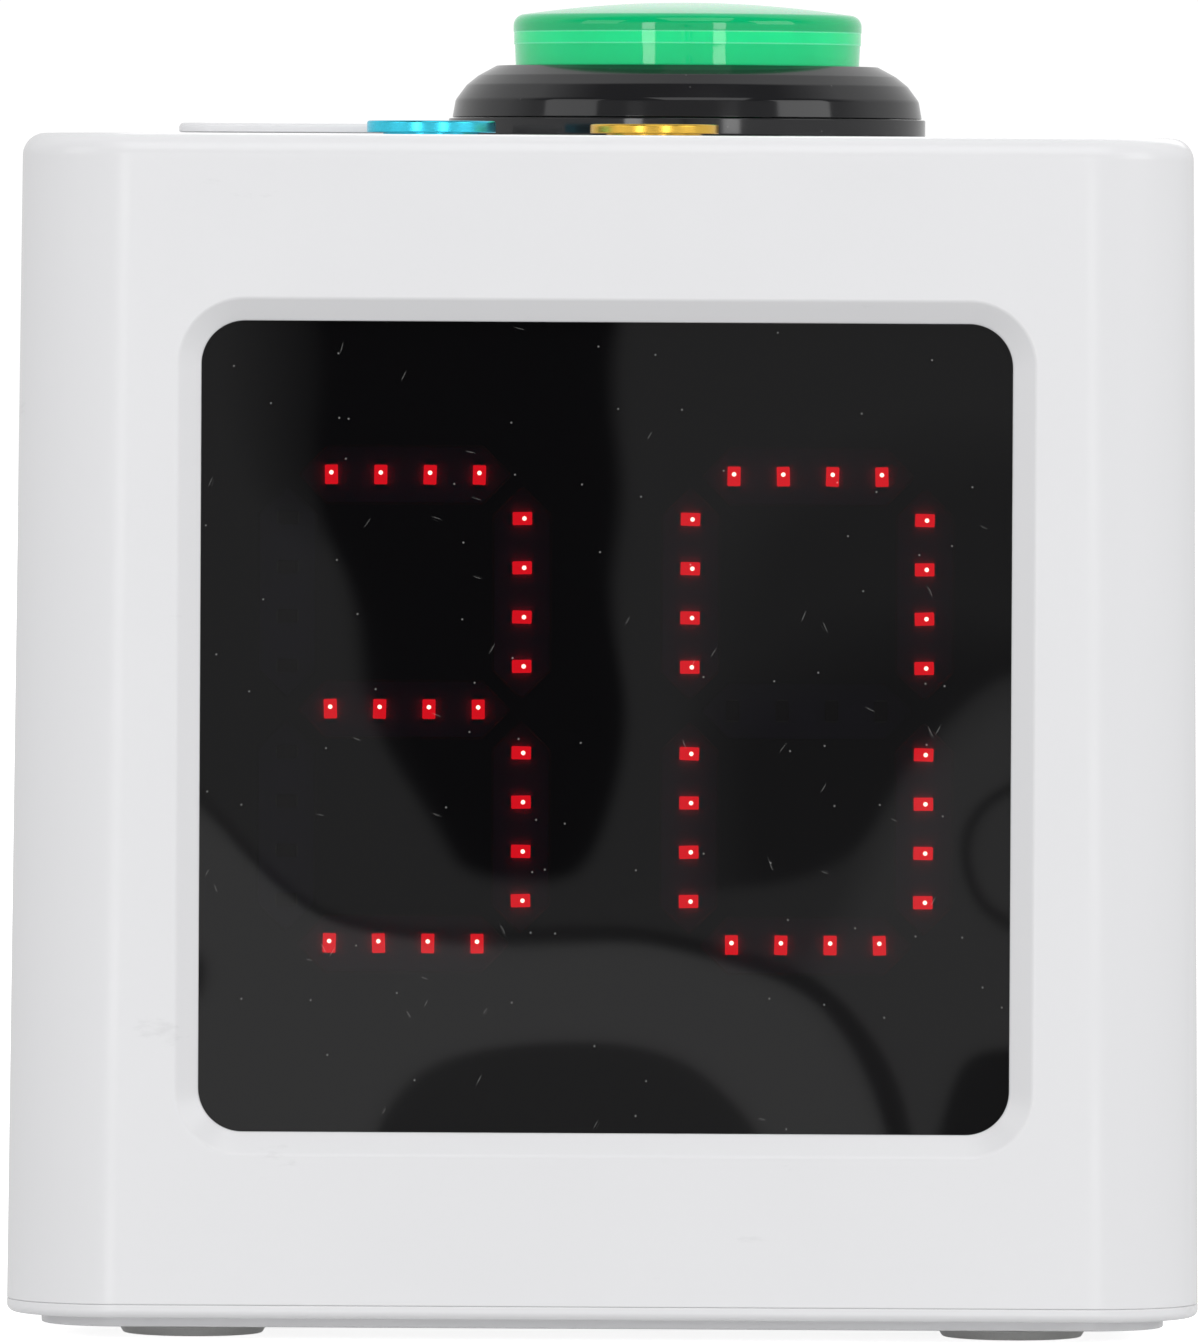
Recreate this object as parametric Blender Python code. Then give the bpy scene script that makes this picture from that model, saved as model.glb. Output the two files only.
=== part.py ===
"""Tabletop countdown timer: a tapered box with an LED window and three push buttons on top.

Metres, +Z up. +X is to the right of a person who faces the window, and the window looks along -Y.
The origin is on the resting surface, under the middle of the base. Pieces that touch on the real
object keep a small air gap, because each one is its own closed solid.
"""

import math

import bmesh
import bpy
from mathutils import Matrix, Vector

MM = 0.001
GAP = 0.3 * MM                      # air between two pieces that touch
BITE = 0.5 * MM                     # how far a joined shape runs into the one it grows from
OVERSHOOT = 2.0 * MM                # how far a cut runs past the face it breaks through

# Housing shell
BODY_WIDTH = 147.9 * MM             # at its lower edge
BODY_DEPTH = 100.0 * MM             # at its lower edge
BODY_HEIGHT = 144.5 * MM            # the shell alone
DRAFT = math.radians(0.535)         # how far each side leans in
CORNER_RADIUS = 14.0 * MM           # upright corners
TOP_EDGE_RADIUS = 2.8 * MM
WALL = 2.5 * MM
CORNER_STEPS = 6                    # facets in a quarter turn of an upright corner
EDGE_STEPS = 4
DOME_STEPS = 36                     # facets round the large button

# Base: feet, inset plate and cover, from the surface upwards
FOOT_HEIGHT = 1.2 * MM
FOOT_DIAMETER = 18.7 * MM
FOOT_TAPER = 0.7 * MM               # the lower edge is this much smaller all round
FOOT_FROM_SIDE = 23.0 * MM          # from the body's side to a foot's middle
FOOT_FROM_FRONT = 18.0 * MM
PLATE_THICKNESS = 1.2 * MM
PLATE_INSET = 4.3 * MM
BAND_HEIGHT = 1.2 * MM              # the cover's rim that shows under the shell
BAND_EDGE = 1.0 * MM                # its rounded lower edge
SPIGOT_HEIGHT = 2.3 * MM            # the part of the cover that stands inside the shell
COVER_FLOOR = 2.0 * MM
BASE_SCREW_RADIUS = 1.5 * MM
BASE_SCREW_HEAD = 2.8 * MM          # radius of the countersunk head
BASE_SCREW_LENGTH = 17.0 * MM
BASE_SCREW_FROM_SIDE = 9.0 * MM
BASE_SCREW_FROM_MIDDLE = 20.0 * MM
BASE_BOSS_RADIUS = 4.0 * MM
BASE_BOSS_HEIGHT = 23.0 * MM
RIB_THICKNESS = 2.0 * MM

# Window in the front wall
WINDOW_SIZE = 100.1 * MM            # the square that shows
WINDOW_CORNER = 5.4 * MM
WINDOW_HEIGHT = 71.4 * MM           # its middle, above the shell's lower edge
BEVEL_WIDTH = 2.8 * MM
BEVEL_DEPTH = 2.2 * MM
PANE_THICKNESS = 2.0 * MM
PANE_LAP = 3.2 * MM                 # how far the pane reaches behind the wall

# Display stack behind the window
MASK_MARGIN = 4.5 * MM              # the mask and the board reach this far past the posts' axes
MASK_THICKNESS = 3.0 * MM
BOARD_THICKNESS = 1.6 * MM
BOARD_CORNER = 3.0 * MM
DISPLAY_POST_FROM_WINDOW = 5.95 * MM  # outwards from the window's edge, both ways
DISPLAY_POST_RADIUS = 2.5 * MM
DISPLAY_SCREW_RADIUS = 1.1 * MM
DISPLAY_SCREW_HEAD = 4.6 * MM
DISPLAY_SCREW_HEAD_HEIGHT = 1.8 * MM
DISPLAY_SCREW_LENGTH = 6.0 * MM
DIGIT_PITCH = 49.8 * MM
DIGIT_RAISE = 2.1 * MM              # digits' middle above the window's middle
SEGMENT_SPAN = 29.0 * MM            # between the middle lines of two parallel strokes
SEGMENT_LENGTH = 26.0 * MM
SEGMENT_WIDTH = 6.8 * MM
LEDS_IN_SEGMENT = 4
LED_PITCH = 6.1 * MM
LED_LONG = 2.5 * MM
LED_SHORT = 1.7 * MM
LED_HEIGHT = 0.8 * MM

# Controller board behind the display
CONTROLLER_WIDTH = 80.0 * MM
CONTROLLER_HEIGHT = 56.0 * MM
STANDOFF_LENGTH = 11.4 * MM
STANDOFF_FLATS = 5.0 * MM
STANDOFF_INSET = 4.0 * MM
CHIP_HEIGHT = 1.6 * MM
CAN_RADIUS = 3.2 * MM
CAN_HEIGHT = 8.0 * MM
BOARD_SCREW_RADIUS = 1.1 * MM
BOARD_SCREW_HEAD = 2.4 * MM
BOARD_SCREW_LENGTH = 6.0 * MM
HEADER_LENGTH = 20.3 * MM
HEADER_WIDTH = 5.0 * MM
BUZZER_RADIUS = 6.0 * MM
BUZZER_HEIGHT = 8.0 * MM

# Large dome button
DOME_X = 10.0 * MM
DOME_FROM_BACK = 37.0 * MM          # its axis, from the body's back at the base
LENS_RADIUS = 22.1 * MM
LENS_SIDE = 6.55 * MM               # how far its side and shoulder stand out of the bezel
LENS_CROWN = 1.55 * MM              # rise of its domed top
LENS_SHOULDER = 1.45 * MM           # rounding between its side and its top
LENS_WALL = 2.0 * MM
DOME_RIM_WIDTH = 1.3 * MM           # the bezel's flat rim, outwards from the lens
DOME_ROUND_WIDTH = 2.5 * MM         # then its rounded edge, cone and skirt, and the flange
DOME_CONE_WIDTH = 3.5 * MM
DOME_SKIRT_WIDTH = 0.4 * MM
DOME_FLANGE_WIDTH = 0.45 * MM
DOME_FLANGE_HEIGHT = 2.7 * MM       # upwards from the top panel, then the same parts in turn
DOME_SKIRT_HEIGHT = 2.25 * MM
DOME_CONE_HEIGHT = 3.25 * MM
DOME_ROUND_HEIGHT = 0.9 * MM
DOME_LIP = 1.3 * MM                 # thickness of the bezel's inner lip
DOME_FLOOR_CLEARANCE = 0.7 * MM     # left under the pressed lens
LENS_FLANGE_REACH = 2.1 * MM        # how far its hidden flange stands out under the lip
LENS_FLANGE_HEIGHT = 1.5 * MM
DOME_TRAVEL = 3.5 * MM
BARREL_RADIUS = 12.0 * MM
BARREL_WALL = 1.8 * MM
BARREL_SEAT_DEPTH = 12.0 * MM       # the spring's seat, below the top panel's face
BARREL_DEPTH = 28.0 * MM
SPRING_SPACE = 2.8 * MM             # between the barrel's bore and the plunger's stem
SPRING_WIRE = 0.5 * MM              # radius
SPRING_TURNS = 5
STEM_WALL = 2.4 * MM
STEM_CLEARANCE = 0.6 * MM           # round the stem where it runs in the barrel
STEM_DEPTH = 16.0 * MM
DOME_NUT_REACH = 5.0 * MM           # outwards from the barrel
DOME_NUT_HEIGHT = 6.0 * MM
LAMP_CLEARANCE = 1.5 * MM
HOLDER_MARGIN = 1.0 * MM            # how much smaller the lamp holder is than the barrel
HOLDER_HEIGHT = 3.7 * MM
PUSHER_RADIUS = 1.0 * MM
SWITCH_LENGTH = 27.8 * MM
SWITCH_WIDTH = 10.3 * MM
SWITCH_HEIGHT = 15.9 * MM
SWITCH_PIN_HEIGHT = 1.0 * MM

# Two small metal buttons
SMALL_FROM_FRONT = 19.0 * MM        # their axes, from the body's front at the base
BLUE_X = -22.0 * MM
GOLD_X = 5.7 * MM
BLUE_HEAD_HEIGHT = 1.75 * MM
GOLD_HEAD_HEIGHT = 1.45 * MM
SMALL_HEAD_RADIUS = 8.0 * MM
SMALL_THREAD_RADIUS = 6.0 * MM
SMALL_BODY_WALL = 1.0 * MM          # round the cap
SMALL_BODY_DEPTH = 16.0 * MM
SMALL_WELL_DEPTH = 6.0 * MM
SMALL_CAP_SKIRT = 3.0 * MM          # the cap's underside, below the panel's face
SMALL_STEM_RADIUS = 2.2 * MM
SMALL_STEM_DEPTH = 9.0 * MM
SMALL_NUT_REACH = 1.0 * MM          # outwards from the thread, at its flats
SMALL_NUT_HEIGHT = 2.5 * MM
SMALL_TERMINAL_HEIGHT = 3.0 * MM
SMALL_SPRING_WIRE = 0.3 * MM
SMALL_SPRING_TURNS = 2

# Blank raised pad on the top panel
PAD_LENGTH = 35.0 * MM
PAD_WIDTH = 14.0 * MM
PAD_HEIGHT = 1.45 * MM
PAD_CORNER = 4.0 * MM
PAD_X = -36.2 * MM
PAD_FROM_FRONT = 36.0 * MM

# Rear wall: sliding power switch, charging socket, sound holes
SLIDER_X = -30.0 * MM
SLIDER_HEIGHT = 100.5 * MM          # above the shell's lower edge
SLIDER_LENGTH = 4.0 * MM
SLIDER_WIDTH = 3.6 * MM
SLIDER_PROUD = 0.6 * MM
SLIDER_DEPTH = 6.0 * MM
SLIDER_TRAVEL = 4.5 * MM
SLIDE_SWITCH_LENGTH = 14.0 * MM
SLIDE_SWITCH_WIDTH = 7.0 * MM
SLIDE_SWITCH_DEPTH = 5.5 * MM
LEDGE_THICKNESS = 2.0 * MM
SOCKET_X = 30.0 * MM
SOCKET_HEIGHT = 15.0 * MM           # above the shell's lower edge
SOCKET_WIDTH = 9.0 * MM
SOCKET_TALL = 3.2 * MM
SOCKET_LENGTH = 7.4 * MM
SOCKET_SHEET = 0.3 * MM
CHARGE_BOARD_WIDTH = 18.0 * MM
CHARGE_BOARD_LENGTH = 20.0 * MM
CHARGE_BOARD_THICKNESS = 1.0 * MM
SHELF_DEPTH = 14.0 * MM
SOUND_HOLE_RADIUS = 1.0 * MM
SOUND_HOLE_PITCH = 4.0 * MM

# Battery
BATTERY_LENGTH = 70.0 * MM
BATTERY_CELL_RADIUS = 9.3 * MM
TRAY_WALL = 1.6 * MM
TRAY_HEIGHT = 12.0 * MM
TRAY_Y = 3.0 * MM

# Heights and places that follow
PLATE_BOTTOM = FOOT_HEIGHT + GAP
PLATE_TOP = PLATE_BOTTOM + PLATE_THICKNESS
COVER_BOTTOM = PLATE_TOP + GAP
BAND_TOP = COVER_BOTTOM + BAND_HEIGHT
COVER_TOP = BAND_TOP + SPIGOT_HEIGHT
SHELL_BOTTOM = BAND_TOP + GAP
SHELL_TOP = SHELL_BOTTOM + BODY_HEIGHT
LEAN = math.tan(DRAFT)
DOME_Y = BODY_DEPTH / 2 - DOME_FROM_BACK
SMALL_Y = -BODY_DEPTH / 2 + SMALL_FROM_FRONT
PAD_Y = -BODY_DEPTH / 2 + PAD_FROM_FRONT
PANE_FRONT = -WALL - GAP            # depths behind the front face are negative
PANE_BACK = PANE_FRONT - PANE_THICKNESS
MASK_FRONT = PANE_BACK - GAP
MASK_BACK = MASK_FRONT - MASK_THICKNESS
LED_BOARD_FRONT = MASK_BACK - GAP
LED_BOARD_BACK = LED_BOARD_FRONT - BOARD_THICKNESS
CONTROLLER_FRONT = LED_BOARD_BACK - 2 * GAP - STANDOFF_LENGTH
CONTROLLER_BACK = CONTROLLER_FRONT - BOARD_THICKNESS
DISPLAY_POST_AT = WINDOW_SIZE / 2 + DISPLAY_POST_FROM_WINDOW
MASK_SIZE = 2 * (DISPLAY_POST_AT + MASK_MARGIN)
PANEL_UNDERSIDE = -WALL             # heights below the top panel's face are negative
DOME_RIM_RADIUS = LENS_RADIUS + DOME_RIM_WIDTH
DOME_CONE_RADIUS = DOME_RIM_RADIUS + DOME_ROUND_WIDTH
DOME_SHOULDER_RADIUS = DOME_CONE_RADIUS + DOME_CONE_WIDTH
DOME_BEZEL_RADIUS = DOME_SHOULDER_RADIUS + DOME_SKIRT_WIDTH
DOME_FLANGE_RADIUS = DOME_BEZEL_RADIUS + DOME_FLANGE_WIDTH
DOME_SHOULDER = DOME_FLANGE_HEIGHT + DOME_SKIRT_HEIGHT
DOME_CONE_TOP = DOME_SHOULDER + DOME_CONE_HEIGHT
DOME_RIM_TOP = DOME_CONE_TOP + DOME_ROUND_HEIGHT
LENS_APEX = DOME_RIM_TOP + LENS_SIDE + LENS_CROWN
LENS_FLANGE_TOP = DOME_RIM_TOP - DOME_LIP - GAP
LENS_FLANGE_BOTTOM = LENS_FLANGE_TOP - LENS_FLANGE_HEIGHT
DOME_WELL_FLOOR = LENS_FLANGE_BOTTOM - DOME_TRAVEL - DOME_FLOOR_CLEARANCE
BARREL_BORE = BARREL_RADIUS - BARREL_WALL
STEM_RADIUS = BARREL_BORE - SPRING_SPACE
STEM_BORE = STEM_RADIUS - STEM_WALL
BARREL_SEAT_BORE = STEM_RADIUS + STEM_CLEARANCE
LAMP_RADIUS = STEM_BORE - LAMP_CLEARANCE
HOLDER_RADIUS = BARREL_RADIUS - HOLDER_MARGIN
HOLDER_BOTTOM = -BARREL_DEPTH - GAP - HOLDER_HEIGHT
PUSHER_OFFSET = (STEM_RADIUS + STEM_BORE) / 2
SWITCH_PIN_TOP = HOLDER_BOTTOM - DOME_TRAVEL - 2 * GAP
SMALL_CAP_RADIUS = SMALL_THREAD_RADIUS - SMALL_BODY_WALL - GAP
BASE_SCREW_X = BODY_WIDTH / 2 - BASE_SCREW_FROM_SIDE


# ---------------------------------------------------------------- outlines

def arc(centre_x, centre_y, radius, start, end, steps):
    """Points on an arc, from one angle in degrees to the other, both ends included."""
    turn = math.radians(end - start)
    return [(centre_x + radius * math.cos(math.radians(start) + turn * i / steps),
             centre_y + radius * math.sin(math.radians(start) + turn * i / steps))
            for i in range(steps + 1)]


def rounded_rectangle(width, height, radius, steps=CORNER_STEPS):
    """A rectangle about the origin with round corners, counter-clockwise."""
    x, y = width / 2 - radius, height / 2 - radius
    return (arc(x, y, radius, 0, 90, steps) + arc(-x, y, radius, 90, 180, steps)
            + arc(-x, -y, radius, 180, 270, steps) + arc(x, -y, radius, 270, 360, steps))


def rectangle(width, height):
    """A plain rectangle about the origin, counter-clockwise."""
    x, y = width / 2, height / 2
    return [(x, y), (-x, y), (-x, -y), (x, -y)]


def circle(radius, steps):
    """A regular outline about the origin, counter-clockwise."""
    return [(radius * math.cos(math.tau * i / steps), radius * math.sin(math.tau * i / steps))
            for i in range(steps)]


def hexagon(across_flats):
    """A hexagon measured across its flats."""
    return circle(across_flats / math.sqrt(3), 6)


def moved(outline, x, y):
    """The outline somewhere else."""
    return [(px + x, py + y) for px, py in outline]


def level(outline, z):
    """The outline as a ring of points at one height."""
    return [Vector((x, y, z)) for x, y in outline]


def body_outline(z, inset=0.0):
    """The housing's outline at a height, drawn in by an inset."""
    lean = 2 * (max(z, SHELL_BOTTOM) - SHELL_BOTTOM) * LEAN
    return rounded_rectangle(BODY_WIDTH - lean - 2 * inset, BODY_DEPTH - lean - 2 * inset,
                             CORNER_RADIUS - inset)


# ---------------------------------------------------------------- solids

def material(name, colour, roughness, metallic=0.0):
    """A plain finish."""
    finish = bpy.data.materials.new(name)
    finish.use_nodes = True
    shader = finish.node_tree.nodes["Principled BSDF"]
    shader.inputs["Base Color"].default_value = (*colour, 1.0)
    shader.inputs["Roughness"].default_value = roughness
    shader.inputs["Metallic"].default_value = metallic
    return finish


def solid(name, finish, mesh_data, parent=None, location=(0, 0, 0)):
    """An object from a finished bmesh."""
    bmesh.ops.recalc_face_normals(mesh_data, faces=mesh_data.faces)
    mesh = bpy.data.meshes.new(name)
    mesh_data.to_mesh(mesh)
    mesh_data.free()
    mesh.materials.append(finish)
    piece = bpy.data.objects.new(name, mesh)
    piece.parent = parent
    piece.location = location
    bpy.context.scene.collection.objects.link(piece)
    return piece


def add_loft(mesh_data, rings, capped=True):
    """Skin equal rings of points in order, and close the two ends or join them to each other."""
    rows = [[mesh_data.verts.new(point) for point in ring] for ring in rings]
    pairs = list(zip(rows, rows[1:])) + ([] if capped else [(rows[-1], rows[0])])
    count = len(rows[0])
    for low, high in pairs:
        for i in range(count):
            j = (i + 1) % count
            mesh_data.faces.new((low[i], low[j], high[j], high[i]))
    if capped:
        mesh_data.faces.new(list(reversed(rows[0])))
        mesh_data.faces.new(rows[-1])


def loft(name, finish, rings, parent=None, location=(0, 0, 0)):
    """A closed solid skinned over rings."""
    mesh_data = bmesh.new()
    add_loft(mesh_data, rings)
    return solid(name, finish, mesh_data, parent, location)


def prisms(name, finish, outlines, bottom, top, parent=None, location=(0, 0, 0)):
    """One or more straight prisms in one object."""
    mesh_data = bmesh.new()
    for outline in outlines:
        add_loft(mesh_data, [level(outline, bottom), level(outline, top)])
    return solid(name, finish, mesh_data, parent, location)


def prism(name, finish, outline, bottom, top, parent=None, location=(0, 0, 0)):
    """A straight prism."""
    return prisms(name, finish, [outline], bottom, top, parent, location)


def turned(name, finish, profile, steps, parent=None, location=(0, 0, 0)):
    """A body turned about Z from (radius, height) points that run up its outer side."""
    mesh_data = bmesh.new()
    rings = []
    for radius, height in profile:
        if radius == 0:
            rings.append([mesh_data.verts.new((0, 0, height))] * steps)
        else:
            rings.append([mesh_data.verts.new((x, y, height)) for x, y in circle(radius, steps)])
    for low, high in zip(rings, rings[1:] + rings[:1]):
        if low[0] is low[1] and high[0] is high[1]:
            continue
        for i in range(steps):
            j = (i + 1) % steps
            corners = dict.fromkeys((low[i], low[j], high[j], high[i]))
            mesh_data.faces.new(list(corners))
    piece = solid(name, finish, mesh_data, parent, location)
    piece.data.shade_smooth()
    piece.data.set_sharp_from_angle(angle=math.radians(30))
    return piece


def coil(name, finish, radius, wire, turns, bottom, top, parent=None, location=(0, 0, 0)):
    """A round spring between two heights of its wire's middle."""
    steps, sides = 12, 5
    count = steps * turns
    rings = []
    for i in range(count + 1):
        angle = math.tau * i / steps
        middle = Vector((radius * math.cos(angle), radius * math.sin(angle),
                         bottom + (top - bottom) * i / count))
        outward = Vector((math.cos(angle), math.sin(angle), 0))
        rings.append([middle + wire * (math.cos(math.tau * k / sides) * outward
                                       + math.sin(math.tau * k / sides) * Vector((0, 0, 1)))
                      for k in range(sides)])
    return loft(name, finish, rings, parent, location)


def combine(target, tool, operation):
    """Join the tool's shape to the target or cut it away, and use the tool up."""
    bpy.context.view_layer.update()
    step = target.modifiers.new(operation, "BOOLEAN")
    step.operation = operation
    step.solver = "EXACT"
    step.object = tool
    depsgraph = bpy.context.evaluated_depsgraph_get()
    result = bpy.data.meshes.new_from_object(target.evaluated_get(depsgraph))
    target.modifiers.remove(step)
    before = target.data
    target.data = result
    bpy.data.meshes.remove(before)
    result.name = target.name
    used = tool.data
    bpy.data.objects.remove(tool)
    bpy.data.meshes.remove(used)


def cut(target, tool):
    """Take the tool's shape out of the target."""
    combine(target, tool, "DIFFERENCE")


def join(target, tool):
    """Add the tool's shape to the target."""
    combine(target, tool, "UNION")


def cut_holes(target, places, radius, bottom, top, parent=None, steps=12):
    """Cut equal round holes along Z at some places."""
    holes = [moved(circle(radius, steps), x, y) for x, y in places]
    cut(target, prisms("holes", target.data.materials[0], holes, bottom, top, parent))


def corners(x, y):
    """The four places that mirror one place, with the word for each."""
    return {"front_left": (-x, -y), "front_right": (x, -y),
            "rear_left": (-x, y), "rear_right": (x, y)}


def frame_empty(name, location, turn):
    """An empty that carries pieces set on a leaning wall, with its Z axis out of the wall."""
    empty = bpy.data.objects.new(name, None)
    empty.location = location
    empty.rotation_euler = turn
    bpy.context.scene.collection.objects.link(empty)
    return empty


# ---------------------------------------------------------------- finishes

def make_finishes():
    """Every finish of the object, by its plain name."""
    return {
        "white_abs": material("white_abs", (0.80, 0.80, 0.82), 0.30),
        "rubber": material("rubber", (0.62, 0.62, 0.61), 0.60),
        "smoked_acrylic": material("smoked_acrylic", (0.012, 0.010, 0.014), 0.06),
        "black_abs": material("black_abs", (0.010, 0.010, 0.012), 0.15),
        "mask_black": material("mask_black", (0.030, 0.028, 0.034), 0.55),
        "board_black": material("board_black", (0.020, 0.020, 0.022), 0.45),
        "board_green": material("board_green", (0.020, 0.120, 0.050), 0.45),
        "green_lens": material("green_lens", (0.020, 0.560, 0.240), 0.18),
        "milky_abs": material("milky_abs", (0.75, 0.78, 0.76), 0.40),
        "steel": material("steel", (0.55, 0.55, 0.57), 0.30, 1.0),
        "brass": material("brass", (0.70, 0.52, 0.24), 0.30, 1.0),
        "blue_anodised": material("blue_anodised", (0.02, 0.32, 0.62), 0.28, 1.0),
        "gold_anodised": material("gold_anodised", (0.70, 0.42, 0.08), 0.28, 1.0),
        "battery_wrap": material("battery_wrap", (0.05, 0.14, 0.40), 0.40),
        "dark_plastic": material("dark_plastic", (0.025, 0.025, 0.028), 0.45),
    }


# ---------------------------------------------------------------- base

def make_feet(finishes):
    """Four round feet stuck under the plate."""
    radius = FOOT_DIAMETER / 2
    profile = [(0, 0), (radius - FOOT_TAPER, 0), (radius, FOOT_HEIGHT), (0, FOOT_HEIGHT)]
    x, y = BODY_WIDTH / 2 - FOOT_FROM_SIDE, BODY_DEPTH / 2 - FOOT_FROM_FRONT
    for place, (foot_x, foot_y) in corners(x, y).items():
        turned("foot_" + place, finishes["rubber"], profile, 28, location=(foot_x, foot_y, 0))


def make_base_plate(finishes):
    """The thin plate inset under the cover, countersunk for its screws."""
    outline = body_outline(SHELL_BOTTOM, PLATE_INSET)
    plate = prism("base_plate", finishes["white_abs"], outline, PLATE_BOTTOM, PLATE_TOP)
    for x, y in corners(BASE_SCREW_X, BASE_SCREW_FROM_MIDDLE).values():
        wide, narrow = BASE_SCREW_HEAD + GAP, BASE_SCREW_RADIUS + 2 * GAP
        slope = (wide - narrow) / PLATE_THICKNESS
        sink = [(0, PLATE_BOTTOM - OVERSHOOT), (wide + slope * OVERSHOOT, PLATE_BOTTOM - OVERSHOOT),
                (narrow, PLATE_TOP), (narrow, PLATE_TOP + OVERSHOOT), (0, PLATE_TOP + OVERSHOOT)]
        cut(plate, turned("sink", finishes["white_abs"], sink, 16, location=(x, y, 0)))


def make_base_cover(finishes):
    """The tray that closes the shell: a rim that shows and a spigot that stands inside."""
    edge = [level(body_outline(SHELL_BOTTOM, BAND_EDGE * (1 - math.sin(a))),
                  COVER_BOTTOM + BAND_EDGE * (1 - math.cos(a)))
            for a in (math.radians(angle) for angle in (0, 30, 60, 90))]
    spigot = body_outline(SHELL_BOTTOM + SPIGOT_HEIGHT, WALL + GAP)
    rings = edge + [level(body_outline(SHELL_BOTTOM), BAND_TOP), level(spigot, BAND_TOP),
                    level(spigot, COVER_TOP)]
    cover = loft("base_cover", finishes["white_abs"], rings)
    pocket = rounded_rectangle(2 * (BASE_SCREW_X - BASE_BOSS_RADIUS - RIB_THICKNESS),
                               BODY_DEPTH - 2 * (WALL + GAP) - 2 * RIB_THICKNESS, CORNER_RADIUS / 2)
    cut(cover, prism("pocket", finishes["white_abs"], pocket, COVER_BOTTOM + COVER_FLOOR,
                     COVER_TOP + OVERSHOOT))
    cut_holes(cover, corners(BASE_SCREW_X, BASE_SCREW_FROM_MIDDLE).values(),
              BASE_SCREW_RADIUS + GAP, COVER_BOTTOM - OVERSHOOT, COVER_TOP + OVERSHOOT)


def make_base_screws(finishes):
    """Four countersunk screws, up through plate and cover into the shell's bosses."""
    top = PLATE_BOTTOM + BASE_SCREW_LENGTH
    profile = [(0, PLATE_BOTTOM), (BASE_SCREW_HEAD, PLATE_BOTTOM), (BASE_SCREW_RADIUS + GAP, PLATE_TOP),
               (BASE_SCREW_RADIUS, PLATE_TOP), (BASE_SCREW_RADIUS, top - 2 * BASE_SCREW_RADIUS), (0, top)]
    for place, (x, y) in corners(BASE_SCREW_X, BASE_SCREW_FROM_MIDDLE).items():
        turned("base_screw_" + place, finishes["steel"], profile, 14, location=(x, y, 0))


# ---------------------------------------------------------------- shell

def make_shell(finishes, front, rear):
    """The one-piece housing: four leaning walls and the top, open below."""
    rings = [level(body_outline(SHELL_BOTTOM), SHELL_BOTTOM)]
    for i in range(EDGE_STEPS + 1):
        angle = math.radians(90 * i / EDGE_STEPS)
        z = SHELL_TOP - TOP_EDGE_RADIUS * (1 - math.sin(angle))
        rings.append(level(body_outline(z, TOP_EDGE_RADIUS * (1 - math.cos(angle))), z))
    shell = loft("shell", finishes["white_abs"], rings)
    low, high = SHELL_BOTTOM - OVERSHOOT, SHELL_TOP - WALL
    chamfer = max(TOP_EDGE_RADIUS - WALL, GAP)
    hollow = [level(body_outline(z, WALL), z) for z in (low, SHELL_BOTTOM, high - chamfer)]
    hollow.append(level(body_outline(high, WALL + chamfer), high))
    cut(shell, loft("hollow", finishes["white_abs"], hollow))
    add_base_bosses(shell, finishes)
    add_display_posts(shell, finishes, front)
    add_rear_ledges(shell, finishes, rear)
    cut_window(shell, finishes, front)
    cut_top_holes(shell, finishes)
    cut_rear_openings(shell, finishes, rear)


def add_base_bosses(shell, finishes):
    """Screw bosses on the side walls, each with a rib."""
    bottom = COVER_TOP + GAP
    top = bottom + BASE_BOSS_HEIGHT
    reach = BASE_SCREW_FROM_SIDE - WALL + BITE
    for x, y in corners(BASE_SCREW_X, BASE_SCREW_FROM_MIDDLE).values():
        side = math.copysign(1, x)
        rib = moved(rectangle(reach, RIB_THICKNESS), x + side * reach / 2, y)
        boss = prism("boss", finishes["white_abs"], moved(circle(BASE_BOSS_RADIUS, 14), x, y), bottom, top)
        join(boss, prism("rib", finishes["white_abs"], rib, bottom, top - RIB_THICKNESS))
        join(shell, boss)
    cut_holes(shell, corners(BASE_SCREW_X, BASE_SCREW_FROM_MIDDLE).values(),
              BASE_SCREW_RADIUS + GAP, bottom - OVERSHOOT, PLATE_BOTTOM + BASE_SCREW_LENGTH + GAP)


def add_display_posts(shell, finishes, front):
    """Posts behind the front wall that carry the mask and the LED board."""
    end = LED_BOARD_BACK + GAP
    places = corners(DISPLAY_POST_AT, DISPLAY_POST_AT).values()
    for x, y in places:
        join(shell, prism("post", finishes["white_abs"], moved(circle(DISPLAY_POST_RADIUS, 12), x, y),
                          end, -WALL + BITE, front))
    cut_holes(shell, places, DISPLAY_SCREW_RADIUS + GAP, end - OVERSHOOT,
              LED_BOARD_BACK + DISPLAY_SCREW_LENGTH + GAP, front, 10)


def add_rear_ledges(shell, finishes, rear):
    """Ledges on the rear wall that hold the slide switch and the charging board."""
    x, y = -SLIDER_X, SLIDER_HEIGHT - WINDOW_HEIGHT
    rise = SLIDE_SWITCH_WIDTH / 2 + GAP + LEDGE_THICKNESS / 2
    deep = -WALL - GAP - SLIDE_SWITCH_DEPTH
    ledges = [moved(rectangle(SLIDE_SWITCH_LENGTH, LEDGE_THICKNESS), x, y + rise),
              moved(rectangle(SLIDE_SWITCH_LENGTH, LEDGE_THICKNESS), x, y - rise)]
    join(shell, prisms("ledges", finishes["white_abs"], ledges, deep, -WALL + BITE, rear))
    drop = SOCKET_TALL / 2 + 2 * GAP + CHARGE_BOARD_THICKNESS + LEDGE_THICKNESS / 2
    shelf = moved(rectangle(CHARGE_BOARD_WIDTH, LEDGE_THICKNESS), -SOCKET_X,
                  SOCKET_HEIGHT - WINDOW_HEIGHT - drop)
    join(shell, prism("shelf", finishes["white_abs"], shelf, -WALL - SHELF_DEPTH, -WALL + BITE, rear))


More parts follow.
